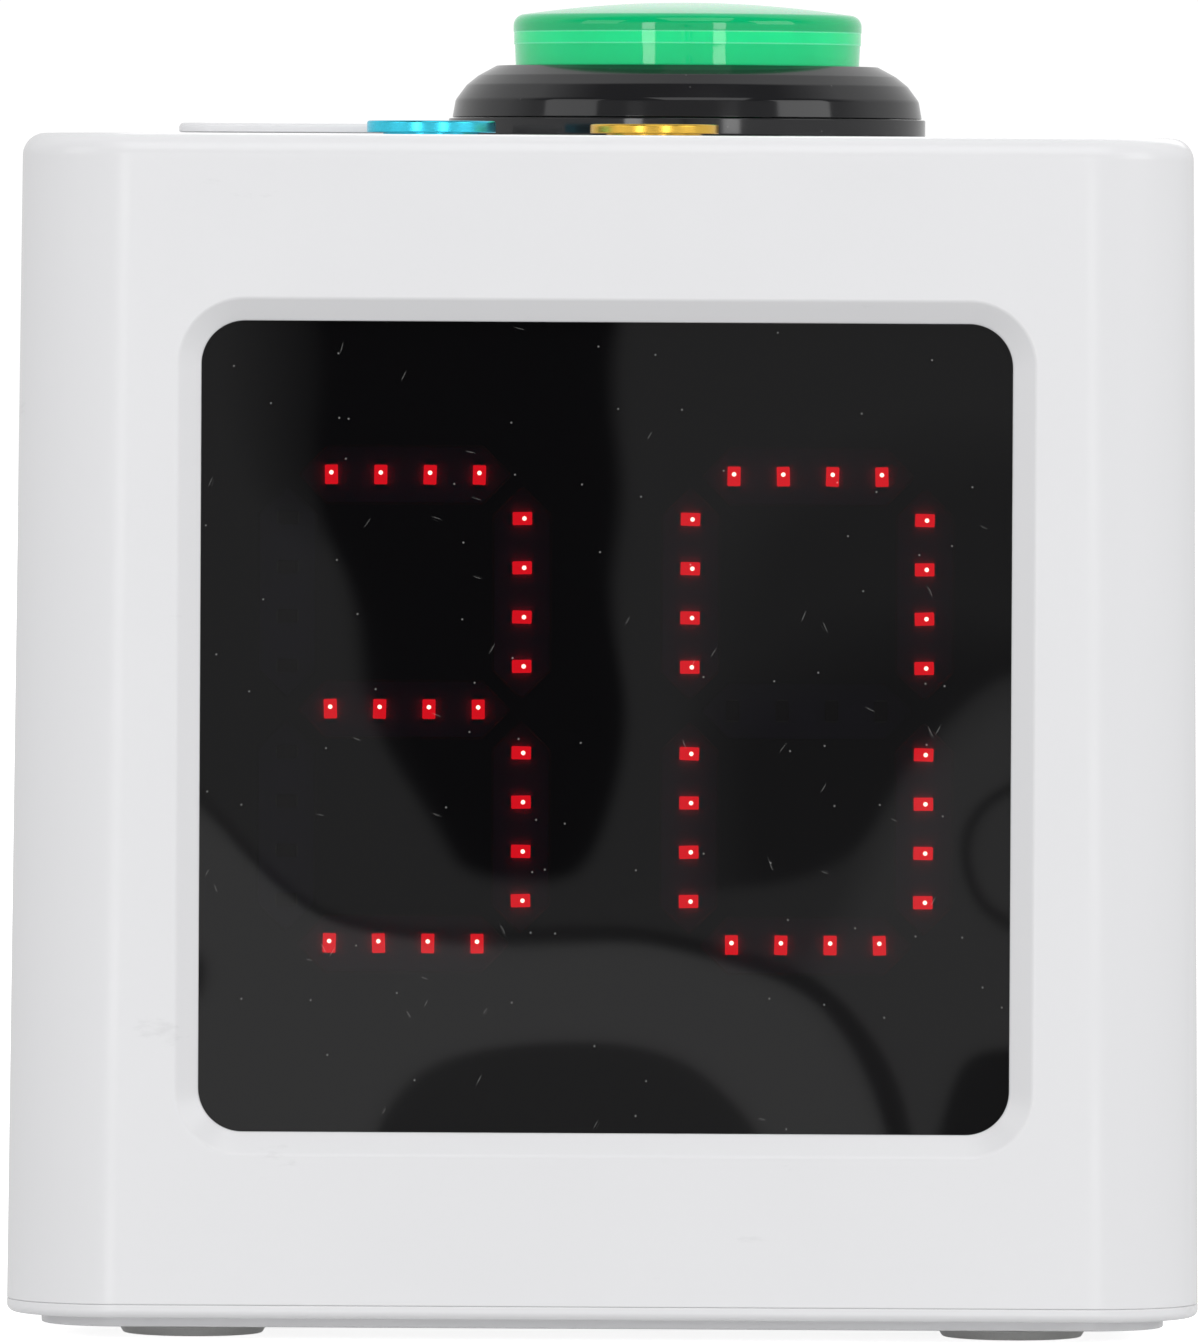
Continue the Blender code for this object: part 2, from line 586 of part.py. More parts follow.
def cut_window(shell, finishes, front):
    """The square window with its bevelled edge."""
    def square(inset):
        size = WINDOW_SIZE + 2 * (BEVEL_WIDTH - inset)
        return rounded_rectangle(size, size, WINDOW_CORNER + BEVEL_WIDTH - inset)
    slope = BEVEL_WIDTH / BEVEL_DEPTH
    rings = [level(square(BEVEL_WIDTH), -WALL - OVERSHOOT), level(square(BEVEL_WIDTH), -BEVEL_DEPTH),
             level(square(-slope * OVERSHOOT), OVERSHOOT)]
    cut(shell, loft("window", finishes["white_abs"], rings, front))


def cut_top_holes(shell, finishes):
    """Holes in the top panel for the three buttons."""
    below, above = SHELL_TOP - WALL - OVERSHOOT, SHELL_TOP + OVERSHOOT
    cut_holes(shell, [(DOME_X, DOME_Y)], BARREL_RADIUS + GAP, below, above, steps=24)
    cut_holes(shell, [(BLUE_X, SMALL_Y), (GOLD_X, SMALL_Y)], SMALL_THREAD_RADIUS + GAP, below, above,
              steps=16)


def cut_rear_openings(shell, finishes, rear):
    """The slider's slot, the socket's slot and the sound holes."""
    slot = moved(rectangle(SLIDER_LENGTH + SLIDER_TRAVEL + 2 * GAP, SLIDER_WIDTH + 2 * GAP),
                 -SLIDER_X, SLIDER_HEIGHT - WINDOW_HEIGHT)
    socket = moved(rounded_rectangle(SOCKET_WIDTH + 2 * GAP, SOCKET_TALL + 2 * GAP,
                                     SOCKET_TALL / 2 + GAP - 0.01 * MM, 4),
                   -SOCKET_X, SOCKET_HEIGHT - WINDOW_HEIGHT)
    cut(shell, prisms("slots", finishes["white_abs"], [slot, socket], -WALL - OVERSHOOT, OVERSHOOT, rear))
    ring = [(SOUND_HOLE_PITCH * math.cos(math.tau * i / 6), SOUND_HOLE_PITCH * math.sin(math.tau * i / 6))
            for i in range(6)]
    cut_holes(shell, [(0, 0)] + ring, SOUND_HOLE_RADIUS, -WALL - OVERSHOOT, OVERSHOOT, rear, 10)


# ---------------------------------------------------------------- display

def segments():
    """Middle and direction of each stroke of both digits, in the window's plane."""
    half = SEGMENT_SPAN / 2
    strokes = [(0, SEGMENT_SPAN, True), (0, 0, True), (0, -SEGMENT_SPAN, True),
               (half, half, False), (-half, half, False), (half, -half, False), (-half, -half, False)]
    return [(side * DIGIT_PITCH / 2 + x, DIGIT_RAISE + y, flat)
            for side in (-1, 1) for x, y, flat in strokes]


def segment_outline(x, y, flat):
    """A stroke with pointed ends."""
    long, half = SEGMENT_LENGTH / 2, SEGMENT_WIDTH / 2
    points = [(long, 0), (long - half, half), (half - long, half), (-long, 0),
              (half - long, -half), (long - half, -half)]
    return moved(points if flat else [(-b, a) for a, b in points], x, y)


def make_window_pane(finishes, front):
    """The smoked pane bonded behind the window."""
    size = WINDOW_SIZE + 2 * PANE_LAP
    prism("window_pane", finishes["smoked_acrylic"], rounded_rectangle(size, size, WINDOW_CORNER),
          PANE_BACK, PANE_FRONT, front)


def make_segment_mask(finishes, front):
    """The dark plate with an opening for each stroke."""
    mask = prism("segment_mask", finishes["mask_black"],
                 rounded_rectangle(MASK_SIZE, MASK_SIZE, BOARD_CORNER, 3), MASK_BACK, MASK_FRONT, front)
    cut(mask, prisms("strokes", finishes["mask_black"], [segment_outline(*s) for s in segments()],
                     MASK_BACK - OVERSHOOT, MASK_FRONT + OVERSHOOT, front))
    cut_holes(mask, corners(DISPLAY_POST_AT, DISPLAY_POST_AT).values(), DISPLAY_POST_RADIUS + GAP,
              MASK_BACK - OVERSHOOT, MASK_FRONT + OVERSHOOT, front)


def make_led_board(finishes, front):
    """The board with its soldered LEDs."""
    board = prism("led_board", finishes["board_black"],
                  rounded_rectangle(MASK_SIZE, MASK_SIZE, BOARD_CORNER, 3),
                  LED_BOARD_BACK, LED_BOARD_FRONT, front)
    cut_holes(board, corners(DISPLAY_POST_AT, DISPLAY_POST_AT).values(), DISPLAY_POST_RADIUS + GAP,
              LED_BOARD_BACK - OVERSHOOT, LED_BOARD_FRONT + OVERSHOOT, front)
    leds = []
    for x, y, flat in segments():
        for i in range(LEDS_IN_SEGMENT):
            along = (i - (LEDS_IN_SEGMENT - 1) / 2) * LED_PITCH
            if flat:
                leds.append(moved(rectangle(LED_SHORT, LED_LONG), x + along, y))
            else:
                leds.append(moved(rectangle(LED_LONG, LED_SHORT), x, y + along))
    join(board, prisms("leds", finishes["board_black"], leds, LED_BOARD_FRONT - BITE,
                       LED_BOARD_FRONT + LED_HEIGHT, front))


def make_display_screws(finishes, front):
    """Four washer-head screws that hold the board and mask on the posts."""
    seat = LED_BOARD_BACK - GAP
    tip = LED_BOARD_BACK + DISPLAY_SCREW_LENGTH
    profile = [(0, seat - DISPLAY_SCREW_HEAD_HEIGHT), (DISPLAY_SCREW_HEAD, seat - DISPLAY_SCREW_HEAD_HEIGHT),
               (DISPLAY_SCREW_HEAD, seat), (DISPLAY_SCREW_RADIUS, seat),
               (DISPLAY_SCREW_RADIUS, tip - 2 * DISPLAY_SCREW_RADIUS), (0, tip)]
    words = {"front": "lower", "rear": "upper"}
    for place, (x, y) in corners(DISPLAY_POST_AT, DISPLAY_POST_AT).items():
        end, side = place.split("_")
        turned("display_screw_" + words[end] + "_" + side, finishes["steel"], profile, 12, front, (x, y, 0))


def make_controller(finishes, front):
    """The controller board, its standoffs, screws, link header and buzzer."""
    x, y = CONTROLLER_WIDTH / 2 - STANDOFF_INSET, CONTROLLER_HEIGHT / 2 - STANDOFF_INSET
    board = prism("controller_board", finishes["board_green"],
                  rounded_rectangle(CONTROLLER_WIDTH, CONTROLLER_HEIGHT, BOARD_CORNER, 3),
                  CONTROLLER_BACK, CONTROLLER_FRONT, front)
    chips = [moved(rectangle(10 * MM, 10 * MM), -12 * MM, 4 * MM),
             moved(rectangle(9 * MM, 5 * MM), -26 * MM, -12 * MM),
             moved(rectangle(9 * MM, 5 * MM), -8 * MM, -15 * MM)]
    join(board, prisms("chips", finishes["board_green"], chips, CONTROLLER_BACK - CHIP_HEIGHT,
                       CONTROLLER_BACK + BITE, front))
    cans = [moved(circle(CAN_RADIUS, 12), -28 * MM, 14 * MM), moved(circle(CAN_RADIUS, 12), 8 * MM, -14 * MM)]
    join(board, prisms("cans", finishes["board_green"], cans, CONTROLLER_BACK - CAN_HEIGHT,
                       CONTROLLER_BACK + BITE, front))
    cut_holes(board, corners(x, y).values(), BOARD_SCREW_RADIUS + GAP, CONTROLLER_BACK - OVERSHOOT,
              CONTROLLER_FRONT + OVERSHOOT, front)
    low, high = CONTROLLER_FRONT + GAP, LED_BOARD_BACK - GAP
    seat = CONTROLLER_BACK - GAP
    tip = seat + BOARD_SCREW_LENGTH
    profile = [(0, seat - BOARD_SCREW_RADIUS), (BOARD_SCREW_HEAD, seat - BOARD_SCREW_RADIUS),
               (BOARD_SCREW_HEAD, seat), (BOARD_SCREW_RADIUS, seat), (BOARD_SCREW_RADIUS, tip), (0, tip)]
    words = {"front": "lower", "rear": "upper"}
    for place, (post_x, post_y) in corners(x, y).items():
        end, side = place.split("_")
        name = words[end] + "_" + side
        post = prism("standoff_" + name, finishes["brass"], hexagon(STANDOFF_FLATS), low, high, front,
                     (post_x, post_y, 0))
        cut_holes(post, [(post_x, post_y)], BOARD_SCREW_RADIUS + GAP, low - OVERSHOOT, tip + GAP, front, 10)
        turned("board_screw_" + name, finishes["steel"], profile, 12, front, (post_x, post_y, 0))
    prism("link_header", finishes["dark_plastic"], rectangle(HEADER_LENGTH, HEADER_WIDTH), low, high, front,
          (0, CONTROLLER_HEIGHT / 2 - HEADER_WIDTH, 0))
    top, mouth = CONTROLLER_BACK - GAP, 1.2 * MM
    base = top - BUZZER_HEIGHT
    shape = [(0, base + mouth), (mouth, base + mouth), (mouth, base), (BUZZER_RADIUS, base),
             (BUZZER_RADIUS, top), (0, top)]
    turned("buzzer", finishes["dark_plastic"], shape, 16, front, (16 * MM, 4 * MM, 0))


# ---------------------------------------------------------------- large dome button

def make_dome_button(finishes):
    """The large lit button, clamped through the top panel."""
    place = (DOME_X, DOME_Y, SHELL_TOP)
    make_dome_housing(finishes, place)
    make_dome_plunger(finishes, place)
    make_dome_switch(finishes, place)


def make_dome_housing(finishes, place):
    """Flanged barrel, bezel ring and clamp nut."""
    flange_top = DOME_FLANGE_HEIGHT - GAP
    profile = [(DOME_FLANGE_RADIUS, GAP), (DOME_FLANGE_RADIUS, flange_top),
               (DOME_CONE_RADIUS, flange_top), (DOME_CONE_RADIUS, DOME_WELL_FLOOR),
               (BARREL_BORE, DOME_WELL_FLOOR), (BARREL_BORE, -BARREL_SEAT_DEPTH),
               (BARREL_SEAT_BORE, -BARREL_SEAT_DEPTH), (BARREL_SEAT_BORE, -BARREL_DEPTH),
               (BARREL_RADIUS, -BARREL_DEPTH), (BARREL_RADIUS, GAP)]
    turned("dome_barrel", finishes["black_abs"], profile, DOME_STEPS, location=place)
    inner = LENS_RADIUS + LENS_FLANGE_REACH + 2 * GAP
    lip = LENS_RADIUS + GAP
    profile = [(DOME_BEZEL_RADIUS, DOME_FLANGE_HEIGHT), (DOME_SHOULDER_RADIUS, DOME_SHOULDER),
               (DOME_CONE_RADIUS, DOME_CONE_TOP), (DOME_RIM_RADIUS, DOME_RIM_TOP), (lip, DOME_RIM_TOP),
               (lip, DOME_RIM_TOP - DOME_LIP), (inner, DOME_RIM_TOP - DOME_LIP), (inner, DOME_FLANGE_HEIGHT)]
    turned("dome_bezel", finishes["black_abs"], profile, DOME_STEPS, location=place)
    top = PANEL_UNDERSIDE - GAP
    nut = prism("dome_nut", finishes["dark_plastic"], circle(BARREL_RADIUS + DOME_NUT_REACH, 12),
                top - DOME_NUT_HEIGHT, top, location=place)
    cut_holes(nut, [place[:2]], BARREL_RADIUS + GAP, SHELL_TOP + top - DOME_NUT_HEIGHT - OVERSHOOT,
              SHELL_TOP + top + OVERSHOOT, steps=32)


def make_dome_plunger(finishes, place):
    """Lens, plunger and return spring."""
    reach = LENS_RADIUS + LENS_FLANGE_REACH
    bore = LENS_RADIUS - LENS_WALL

    def dome(radius, top, shoulder):
        edge, base = radius - shoulder, top - LENS_CROWN - shoulder
        turns = [math.radians(angle) for angle in (0, 30, 60, 90)]
        round_edge = [(edge + shoulder * math.cos(a), base + shoulder * math.sin(a)) for a in turns]
        return round_edge + [(edge * part, top - LENS_CROWN * part ** 2) for part in (2 / 3, 1 / 3, 0)]
    profile = ([(bore, LENS_FLANGE_BOTTOM), (reach, LENS_FLANGE_BOTTOM), (reach, LENS_FLANGE_TOP),
                (LENS_RADIUS - GAP, LENS_FLANGE_TOP), (LENS_RADIUS - GAP, DOME_RIM_TOP)]
               + dome(LENS_RADIUS, LENS_APEX, LENS_SHOULDER)
               + list(reversed(dome(bore, LENS_APEX - LENS_WALL, LENS_SHOULDER / 3))))
    turned("dome_lens", finishes["green_lens"], profile, DOME_STEPS, location=place)
    disc = bore - GAP
    top = LENS_FLANGE_BOTTOM + LENS_WALL
    profile = [(STEM_BORE, -STEM_DEPTH), (STEM_RADIUS, -STEM_DEPTH), (STEM_RADIUS, LENS_FLANGE_BOTTOM),
               (disc, LENS_FLANGE_BOTTOM), (disc, top), (STEM_BORE, top)]
    plunger = turned("dome_plunger", finishes["milky_abs"], profile, 20, location=place)
    pusher_end = SWITCH_PIN_TOP + DOME_TRAVEL + GAP
    pusher = moved(circle(PUSHER_RADIUS, 8), PUSHER_OFFSET, 0)
    join(plunger, prism("pusher", finishes["milky_abs"], pusher, pusher_end, BITE - STEM_DEPTH,
                        location=place))
    rest = BARREL_SEAT_DEPTH - SPRING_WIRE - GAP
    coil("dome_spring", finishes["steel"], (STEM_RADIUS + BARREL_BORE) / 2, SPRING_WIRE, SPRING_TURNS,
         -rest, LENS_FLANGE_BOTTOM - SPRING_WIRE - GAP, location=place)


def make_dome_switch(finishes, place):
    """Lamp, lamp holder and microswitch under the barrel."""
    plug_top = -STEM_DEPTH - DOME_TRAVEL - LAMP_CLEARANCE
    bottom = HOLDER_BOTTOM
    plug = BARREL_SEAT_BORE - GAP
    profile = [(0, bottom), (HOLDER_RADIUS, bottom), (HOLDER_RADIUS, -BARREL_DEPTH - GAP),
               (plug, -BARREL_DEPTH - GAP), (plug, plug_top), (0, plug_top)]
    holder = turned("lamp_holder", finishes["dark_plastic"], profile, 18, location=place)
    switch_top = SWITCH_PIN_TOP - SWITCH_PIN_HEIGHT
    ear = SWITCH_WIDTH / 2 + GAP + RIB_THICKNESS / 2
    ears = [moved(rectangle(HOLDER_RADIUS, RIB_THICKNESS), 0, side * ear) for side in (-1, 1)]
    join(holder, prisms("ears", finishes["dark_plastic"], ears, switch_top - SWITCH_HEIGHT / 2,
                        bottom + BITE, location=place))
    cut_holes(holder, [(place[0] + PUSHER_OFFSET, place[1])], PUSHER_RADIUS + GAP,
              place[2] + bottom - OVERSHOOT, place[2] + plug_top + OVERSHOOT)
    switch = prism("microswitch", finishes["dark_plastic"], rectangle(SWITCH_LENGTH, SWITCH_WIDTH),
                   switch_top - SWITCH_HEIGHT, switch_top, location=place)
    join(switch, prism("pin", finishes["dark_plastic"], moved(circle(PUSHER_RADIUS, 8), PUSHER_OFFSET, 0),
                       switch_top - BITE, SWITCH_PIN_TOP, location=place))
    blades = [moved(rectangle(0.8 * MM, SWITCH_WIDTH / 2), x * MM, 0) for x in (-10, 0, 10)]
    join(switch, prisms("blades", finishes["dark_plastic"], blades, switch_top - SWITCH_HEIGHT - 6 * MM,
                        switch_top - SWITCH_HEIGHT + BITE, location=place))
    base = plug_top + GAP
    tip = LENS_FLANGE_BOTTOM - DOME_TRAVEL
    profile = [(0, base), (LAMP_RADIUS, base)] + arc(0, tip - LAMP_RADIUS, LAMP_RADIUS, 0, 60, 3) + [(0, tip)]
    turned("dome_lamp", finishes["milky_abs"], profile, 12, location=place)


# ---------------------------------------------------------------- small buttons and pad

def make_small_button(colour, x, head, finishes):
    """A flat metal button: threaded body, cap, spring, nut and terminal block."""
    place = (x, SMALL_Y, SHELL_TOP)
    finish = finishes[colour + "_anodised"]
    well = SMALL_CAP_RADIUS + GAP
    edge = GAP
    profile = [(SMALL_HEAD_RADIUS, GAP), (SMALL_HEAD_RADIUS, head - edge), (SMALL_HEAD_RADIUS - edge, head),
               (well, head), (well, -SMALL_WELL_DEPTH), (SMALL_STEM_RADIUS + GAP, -SMALL_WELL_DEPTH),
               (SMALL_STEM_RADIUS + GAP, -SMALL_BODY_DEPTH), (SMALL_THREAD_RADIUS, -SMALL_BODY_DEPTH),
               (SMALL_THREAD_RADIUS, GAP)]
    turned(colour + "_button_body", finish, profile, 20, location=place)
    crown = head - 0.1 * MM
    profile = [(0, -SMALL_STEM_DEPTH), (SMALL_STEM_RADIUS, -SMALL_STEM_DEPTH),
               (SMALL_STEM_RADIUS, -SMALL_CAP_SKIRT), (SMALL_CAP_RADIUS, -SMALL_CAP_SKIRT),
               (SMALL_CAP_RADIUS, crown - edge), (SMALL_CAP_RADIUS - edge, crown), (0, crown)]
    turned(colour + "_button_cap", finish, profile, 16, location=place)
    coil(colour + "_button_spring", finishes["steel"], (SMALL_STEM_RADIUS + SMALL_CAP_RADIUS + GAP) / 2,
         SMALL_SPRING_WIRE, SMALL_SPRING_TURNS, -SMALL_WELL_DEPTH + SMALL_SPRING_WIRE + GAP,
         -SMALL_CAP_SKIRT - SMALL_SPRING_WIRE - GAP, location=place)
    top = PANEL_UNDERSIDE - GAP
    flats = 2 * (SMALL_THREAD_RADIUS + SMALL_NUT_REACH)
    nut = prism(colour + "_button_nut", finishes["steel"], hexagon(flats), top - SMALL_NUT_HEIGHT, top,
                location=place)
    cut_holes(nut, [place[:2]], SMALL_THREAD_RADIUS + GAP, SHELL_TOP + top - SMALL_NUT_HEIGHT - OVERSHOOT,
              SHELL_TOP + top + OVERSHOOT, steps=24)
    top = -SMALL_BODY_DEPTH - GAP
    block = prism(colour + "_button_terminals", finishes["dark_plastic"],
                  circle(SMALL_THREAD_RADIUS - GAP, 20), top - SMALL_TERMINAL_HEIGHT, top, location=place)
    tabs = [moved(rectangle(0.8 * MM, 2.4 * MM), side * 2.5 * MM, 0) for side in (-1, 1)]
    join(block, prisms("tabs", finishes["dark_plastic"], tabs, top - 2 * SMALL_TERMINAL_HEIGHT,
                       top - SMALL_TERMINAL_HEIGHT + BITE, location=place))


def make_pad(finishes):
    """The blank raised pad beside the buttons."""
    edge = 0.6 * MM

    def ring(inset, height):
        return level(rounded_rectangle(PAD_LENGTH - 2 * inset, PAD_WIDTH - 2 * inset, PAD_CORNER - inset, 4),
                     height)
    loft("label_pad", finishes["white_abs"],
         [ring(0, GAP), ring(0, PAD_HEIGHT - edge), ring(edge * 0.3, PAD_HEIGHT - edge * 0.3),
          ring(edge, PAD_HEIGHT)], location=(PAD_X, PAD_Y, SHELL_TOP))


# ---------------------------------------------------------------- rear wall

def make_power_switch(finishes, rear):
    """The slide switch behind the rear wall and its slider."""
    x, y = -SLIDER_X, SLIDER_HEIGHT - WINDOW_HEIGHT
    top = -WALL - GAP
    body = prism("power_switch", finishes["dark_plastic"], rectangle(SLIDE_SWITCH_LENGTH, SLIDE_SWITCH_WIDTH),
                 top - SLIDE_SWITCH_DEPTH, top, rear, (x, y, 0))
    well = moved(rectangle(SLIDER_LENGTH + SLIDER_TRAVEL + 2 * GAP, SLIDER_WIDTH + 2 * GAP), x, y)
    cut(body, prism("well", finishes["dark_plastic"], well, -SLIDER_DEPTH - GAP, OVERSHOOT, rear))
    prism("power_slider", finishes["dark_plastic"], rectangle(SLIDER_LENGTH, SLIDER_WIDTH), -SLIDER_DEPTH,
          SLIDER_PROUD, rear, (x + SLIDER_TRAVEL / 2, y, 0))


def make_charging_port(finishes, rear):
    """The charging socket and the small board under it."""
    x, y = -SOCKET_X, SOCKET_HEIGHT - WINDOW_HEIGHT
    front, back = -GAP, -GAP - SOCKET_LENGTH

    def stadium(shrink):
        tall = SOCKET_TALL - 2 * shrink
        return rounded_rectangle(SOCKET_WIDTH - 2 * shrink, tall, tall / 2 - 0.01 * MM, 4)
    socket = prism("charging_socket", finishes["steel"], stadium(0), back, front, rear, (x, y, 0))
    mouth = moved(stadium(SOCKET_SHEET), x, y)
    cut(socket, prism("mouth", finishes["steel"], mouth, back + 1.2 * MM, OVERSHOOT, rear))
    tongue = moved(rectangle(6.7 * MM, 0.7 * MM), x, y)
    join(socket, prism("tongue", finishes["steel"], tongue, back + BITE, front - 0.8 * MM, rear))
    top = y - SOCKET_TALL / 2 - GAP
    board = moved(rectangle(CHARGE_BOARD_WIDTH, CHARGE_BOARD_THICKNESS), x, top - CHARGE_BOARD_THICKNESS / 2)
    edge = -WALL - GAP
    prism("charge_board", finishes["board_green"], board, edge - CHARGE_BOARD_LENGTH, edge, rear)


# ---------------------------------------------------------------- battery

def make_battery(finishes):
    """Two round cells in one wrap, in an open tray on the cover's floor."""
    width = 4 * BATTERY_CELL_RADIUS
    floor = COVER_BOTTOM + COVER_FLOOR + GAP
    outer = rectangle(BATTERY_LENGTH + 2 * (GAP + TRAY_WALL), width + 2 * (GAP + TRAY_WALL))
    tray = prism("battery_tray", finishes["dark_plastic"], outer, floor, floor + TRAY_HEIGHT,
                 location=(0, TRAY_Y, 0))
    inner = moved(rectangle(BATTERY_LENGTH + 2 * GAP, width + 2 * GAP), 0, TRAY_Y)
    cut(tray, prism("inside", finishes["dark_plastic"], inner, floor + TRAY_WALL,
                    floor + TRAY_HEIGHT + OVERSHOOT))
    middle = floor + TRAY_WALL + GAP + BATTERY_CELL_RADIUS
    outline = [(y, z) for y, z in arc(BATTERY_CELL_RADIUS, 0, BATTERY_CELL_RADIUS, -90, 90, 8)
               + arc(-BATTERY_CELL_RADIUS, 0, BATTERY_CELL_RADIUS, 90, 270, 8)]
    rings = [[Vector((x, y, z)) for y, z in outline] for x in (-BATTERY_LENGTH / 2, BATTERY_LENGTH / 2)]
    loft("battery_pack", finishes["battery_wrap"], rings, location=(0, TRAY_Y, middle))


# ---------------------------------------------------------------- the object

def clear_scene():
    """Start from nothing."""
    for item in list(bpy.data.objects):
        bpy.data.objects.remove(item)


def main():
    """Model every piece."""
    clear_scene()
    finishes = make_finishes()
    wall_y = BODY_DEPTH / 2 - WINDOW_HEIGHT * LEAN
    window_z = SHELL_BOTTOM + WINDOW_HEIGHT
    front = frame_empty("front_wall", (0, -wall_y, window_z), (math.pi / 2 - DRAFT, 0, 0))
    rear = frame_empty("rear_wall", (0, wall_y, window_z), (math.pi / 2 - DRAFT, 0, math.pi))
    make_feet(finishes)
    make_base_plate(finishes)
    make_base_cover(finishes)
    make_base_screws(finishes)
    make_shell(finishes, front, rear)
    make_window_pane(finishes, front)
    make_segment_mask(finishes, front)
    make_led_board(finishes, front)
    make_display_screws(finishes, front)
    make_controller(finishes, front)
    make_dome_button(finishes)
    make_small_button("blue", BLUE_X, BLUE_HEAD_HEIGHT, finishes)
    make_small_button("gold", GOLD_X, GOLD_HEAD_HEIGHT, finishes)
    make_pad(finishes)
    make_power_switch(finishes, rear)
    make_charging_port(finishes, rear)
    make_battery(finishes)


main()
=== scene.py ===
"""Finished surfaces and studio for a tabletop countdown timer, built round its packed CAD frame.

Metres, +Z up. The window looks along -Y. The origin is on the surface the timer stands on. Every piece
is made in its own place, so its object stays at the origin.
"""

import math

import bmesh
import bpy
from bpy.props import (BoolProperty, FloatProperty, FloatVectorProperty, IntProperty, PointerProperty)
from mathutils import Euler, Matrix, Vector


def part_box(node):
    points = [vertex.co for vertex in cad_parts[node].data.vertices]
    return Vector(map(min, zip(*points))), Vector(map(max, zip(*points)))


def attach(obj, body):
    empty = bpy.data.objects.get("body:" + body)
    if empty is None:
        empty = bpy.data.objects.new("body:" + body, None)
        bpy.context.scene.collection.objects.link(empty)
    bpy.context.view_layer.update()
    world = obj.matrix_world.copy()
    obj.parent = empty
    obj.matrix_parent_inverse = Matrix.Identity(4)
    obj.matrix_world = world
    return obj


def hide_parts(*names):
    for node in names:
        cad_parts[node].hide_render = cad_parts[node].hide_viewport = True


bl_info = {
    "name": "Countdown Timer",
    "version": (1, 0, 0),
    "blender": (4, 5, 0),
    "location": "View3D > Sidebar > Timer",
    "description": "Builds the housing, display, buttons and studio of a tabletop countdown timer",
    "category": "Object",
}

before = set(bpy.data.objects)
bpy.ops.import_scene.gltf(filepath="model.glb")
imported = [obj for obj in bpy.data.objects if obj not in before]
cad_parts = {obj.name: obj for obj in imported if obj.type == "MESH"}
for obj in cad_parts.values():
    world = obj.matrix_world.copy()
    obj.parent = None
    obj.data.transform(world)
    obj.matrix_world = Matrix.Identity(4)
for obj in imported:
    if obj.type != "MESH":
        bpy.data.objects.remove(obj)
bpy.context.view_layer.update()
MM = 0.001
SAFE = 0.1 * MM                   # least size of a chamfer, so that a thick wall cannot turn it over
POST_OUT = 5.95 * MM              # middles of the display posts, out from the window's edge


def srgb(code):
    """Linear colour from an sRGB hex value such as #e6e6e8."""
    values = [int(code[i:i + 2], 16) / 255 for i in (1, 3, 5)]
    return tuple(v / 12.92 if v <= 0.04045 else ((v + 0.055) / 1.055) ** 2.4 for v in values)


def middle(node):
    """The middle of a frame node's box."""
    low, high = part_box(node)
    return (low + high) / 2


# Places that the frame gives
SHELL_LOW, SHELL_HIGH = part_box("shell")
COVER_LOW, COVER_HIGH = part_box("base_cover")
PLATE_LOW, PLATE_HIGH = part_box("base_plate")
PAD_LOW, PAD_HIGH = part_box("label_pad")
TOP = SHELL_HIGH.z
DOME_PLACE = Vector((middle("dome_barrel").x, middle("dome_barrel").y, TOP))
LENS_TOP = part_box("dome_lens")[1].z - TOP
SMALL_PLACES = {colour: Vector((middle(colour + "_button_body").x, middle(colour + "_button_body").y, TOP))
                for colour in ("blue", "gold")}
FEET = [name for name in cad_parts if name.startswith("foot_")]
BASE_SCREWS = [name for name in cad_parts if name.startswith("base_screw_")]


# ---------------------------------------------------------------- settings

def length(name, description, millimetres):
    """A length property, its default given in millimetres."""
    return FloatProperty(name=name, description=description, default=millimetres * MM, unit="LENGTH",
                         subtype="DISTANCE", precision=5)


def angle(name, description, degrees):
    """An angle property, its default given in degrees."""
    return FloatProperty(name=name, description=description, default=math.radians(degrees),
                         unit="ROTATION", subtype="ANGLE")


def colour(name, description, code):
    """A colour property, its default given as an sRGB hex value."""
    return FloatVectorProperty(name=name, description=description, default=srgb(code), subtype="COLOR",
                               size=3, min=0.0, max=1.0)


class ShellSettings(bpy.types.PropertyGroup):
    """Sizes of the housing."""
    lean: angle("Lean", "How far each side leans in", 0.535)
    corner: length("Corner", "Radius of the upright corners", 14.0)
    top_edge: length("Top edge", "Radius between the sides and the top", 2.8)
    wall: length("Wall", "Wall thickness", 2.5)
    window_height: length("Window height", "Window's middle above the lower edge", 71.4)
    boss_from_side: length("Boss from side", "Base screws, in from the side", 9.0)
    boss_from_middle: length("Boss from middle", "Base screws, from the middle of the depth", 20.0)
    tint: colour("Colour", "Moulded plastic of the housing", "#e9e9eb")


class WindowSettings(bpy.types.PropertyGroup):
    """Sizes of the window and its pane."""
    size: length("Size", "Side of the square that shows", 100.1)
    corner: length("Corner", "Corner radius", 5.4)
    bevel_width: length("Bevel width", "Width of the sloping edge", 2.8)
    bevel_depth: length("Bevel depth", "Depth of the sloping edge", 2.2)
    pane: length("Pane", "Pane thickness", 2.0)
    lap: length("Lap", "How far the pane reaches behind the wall", 3.2)
    ripple: length("Ripple", "Height of the slow waves in the pane's face", 0.012)
    tint: colour("Tint", "Smoked acrylic", "#08070a")


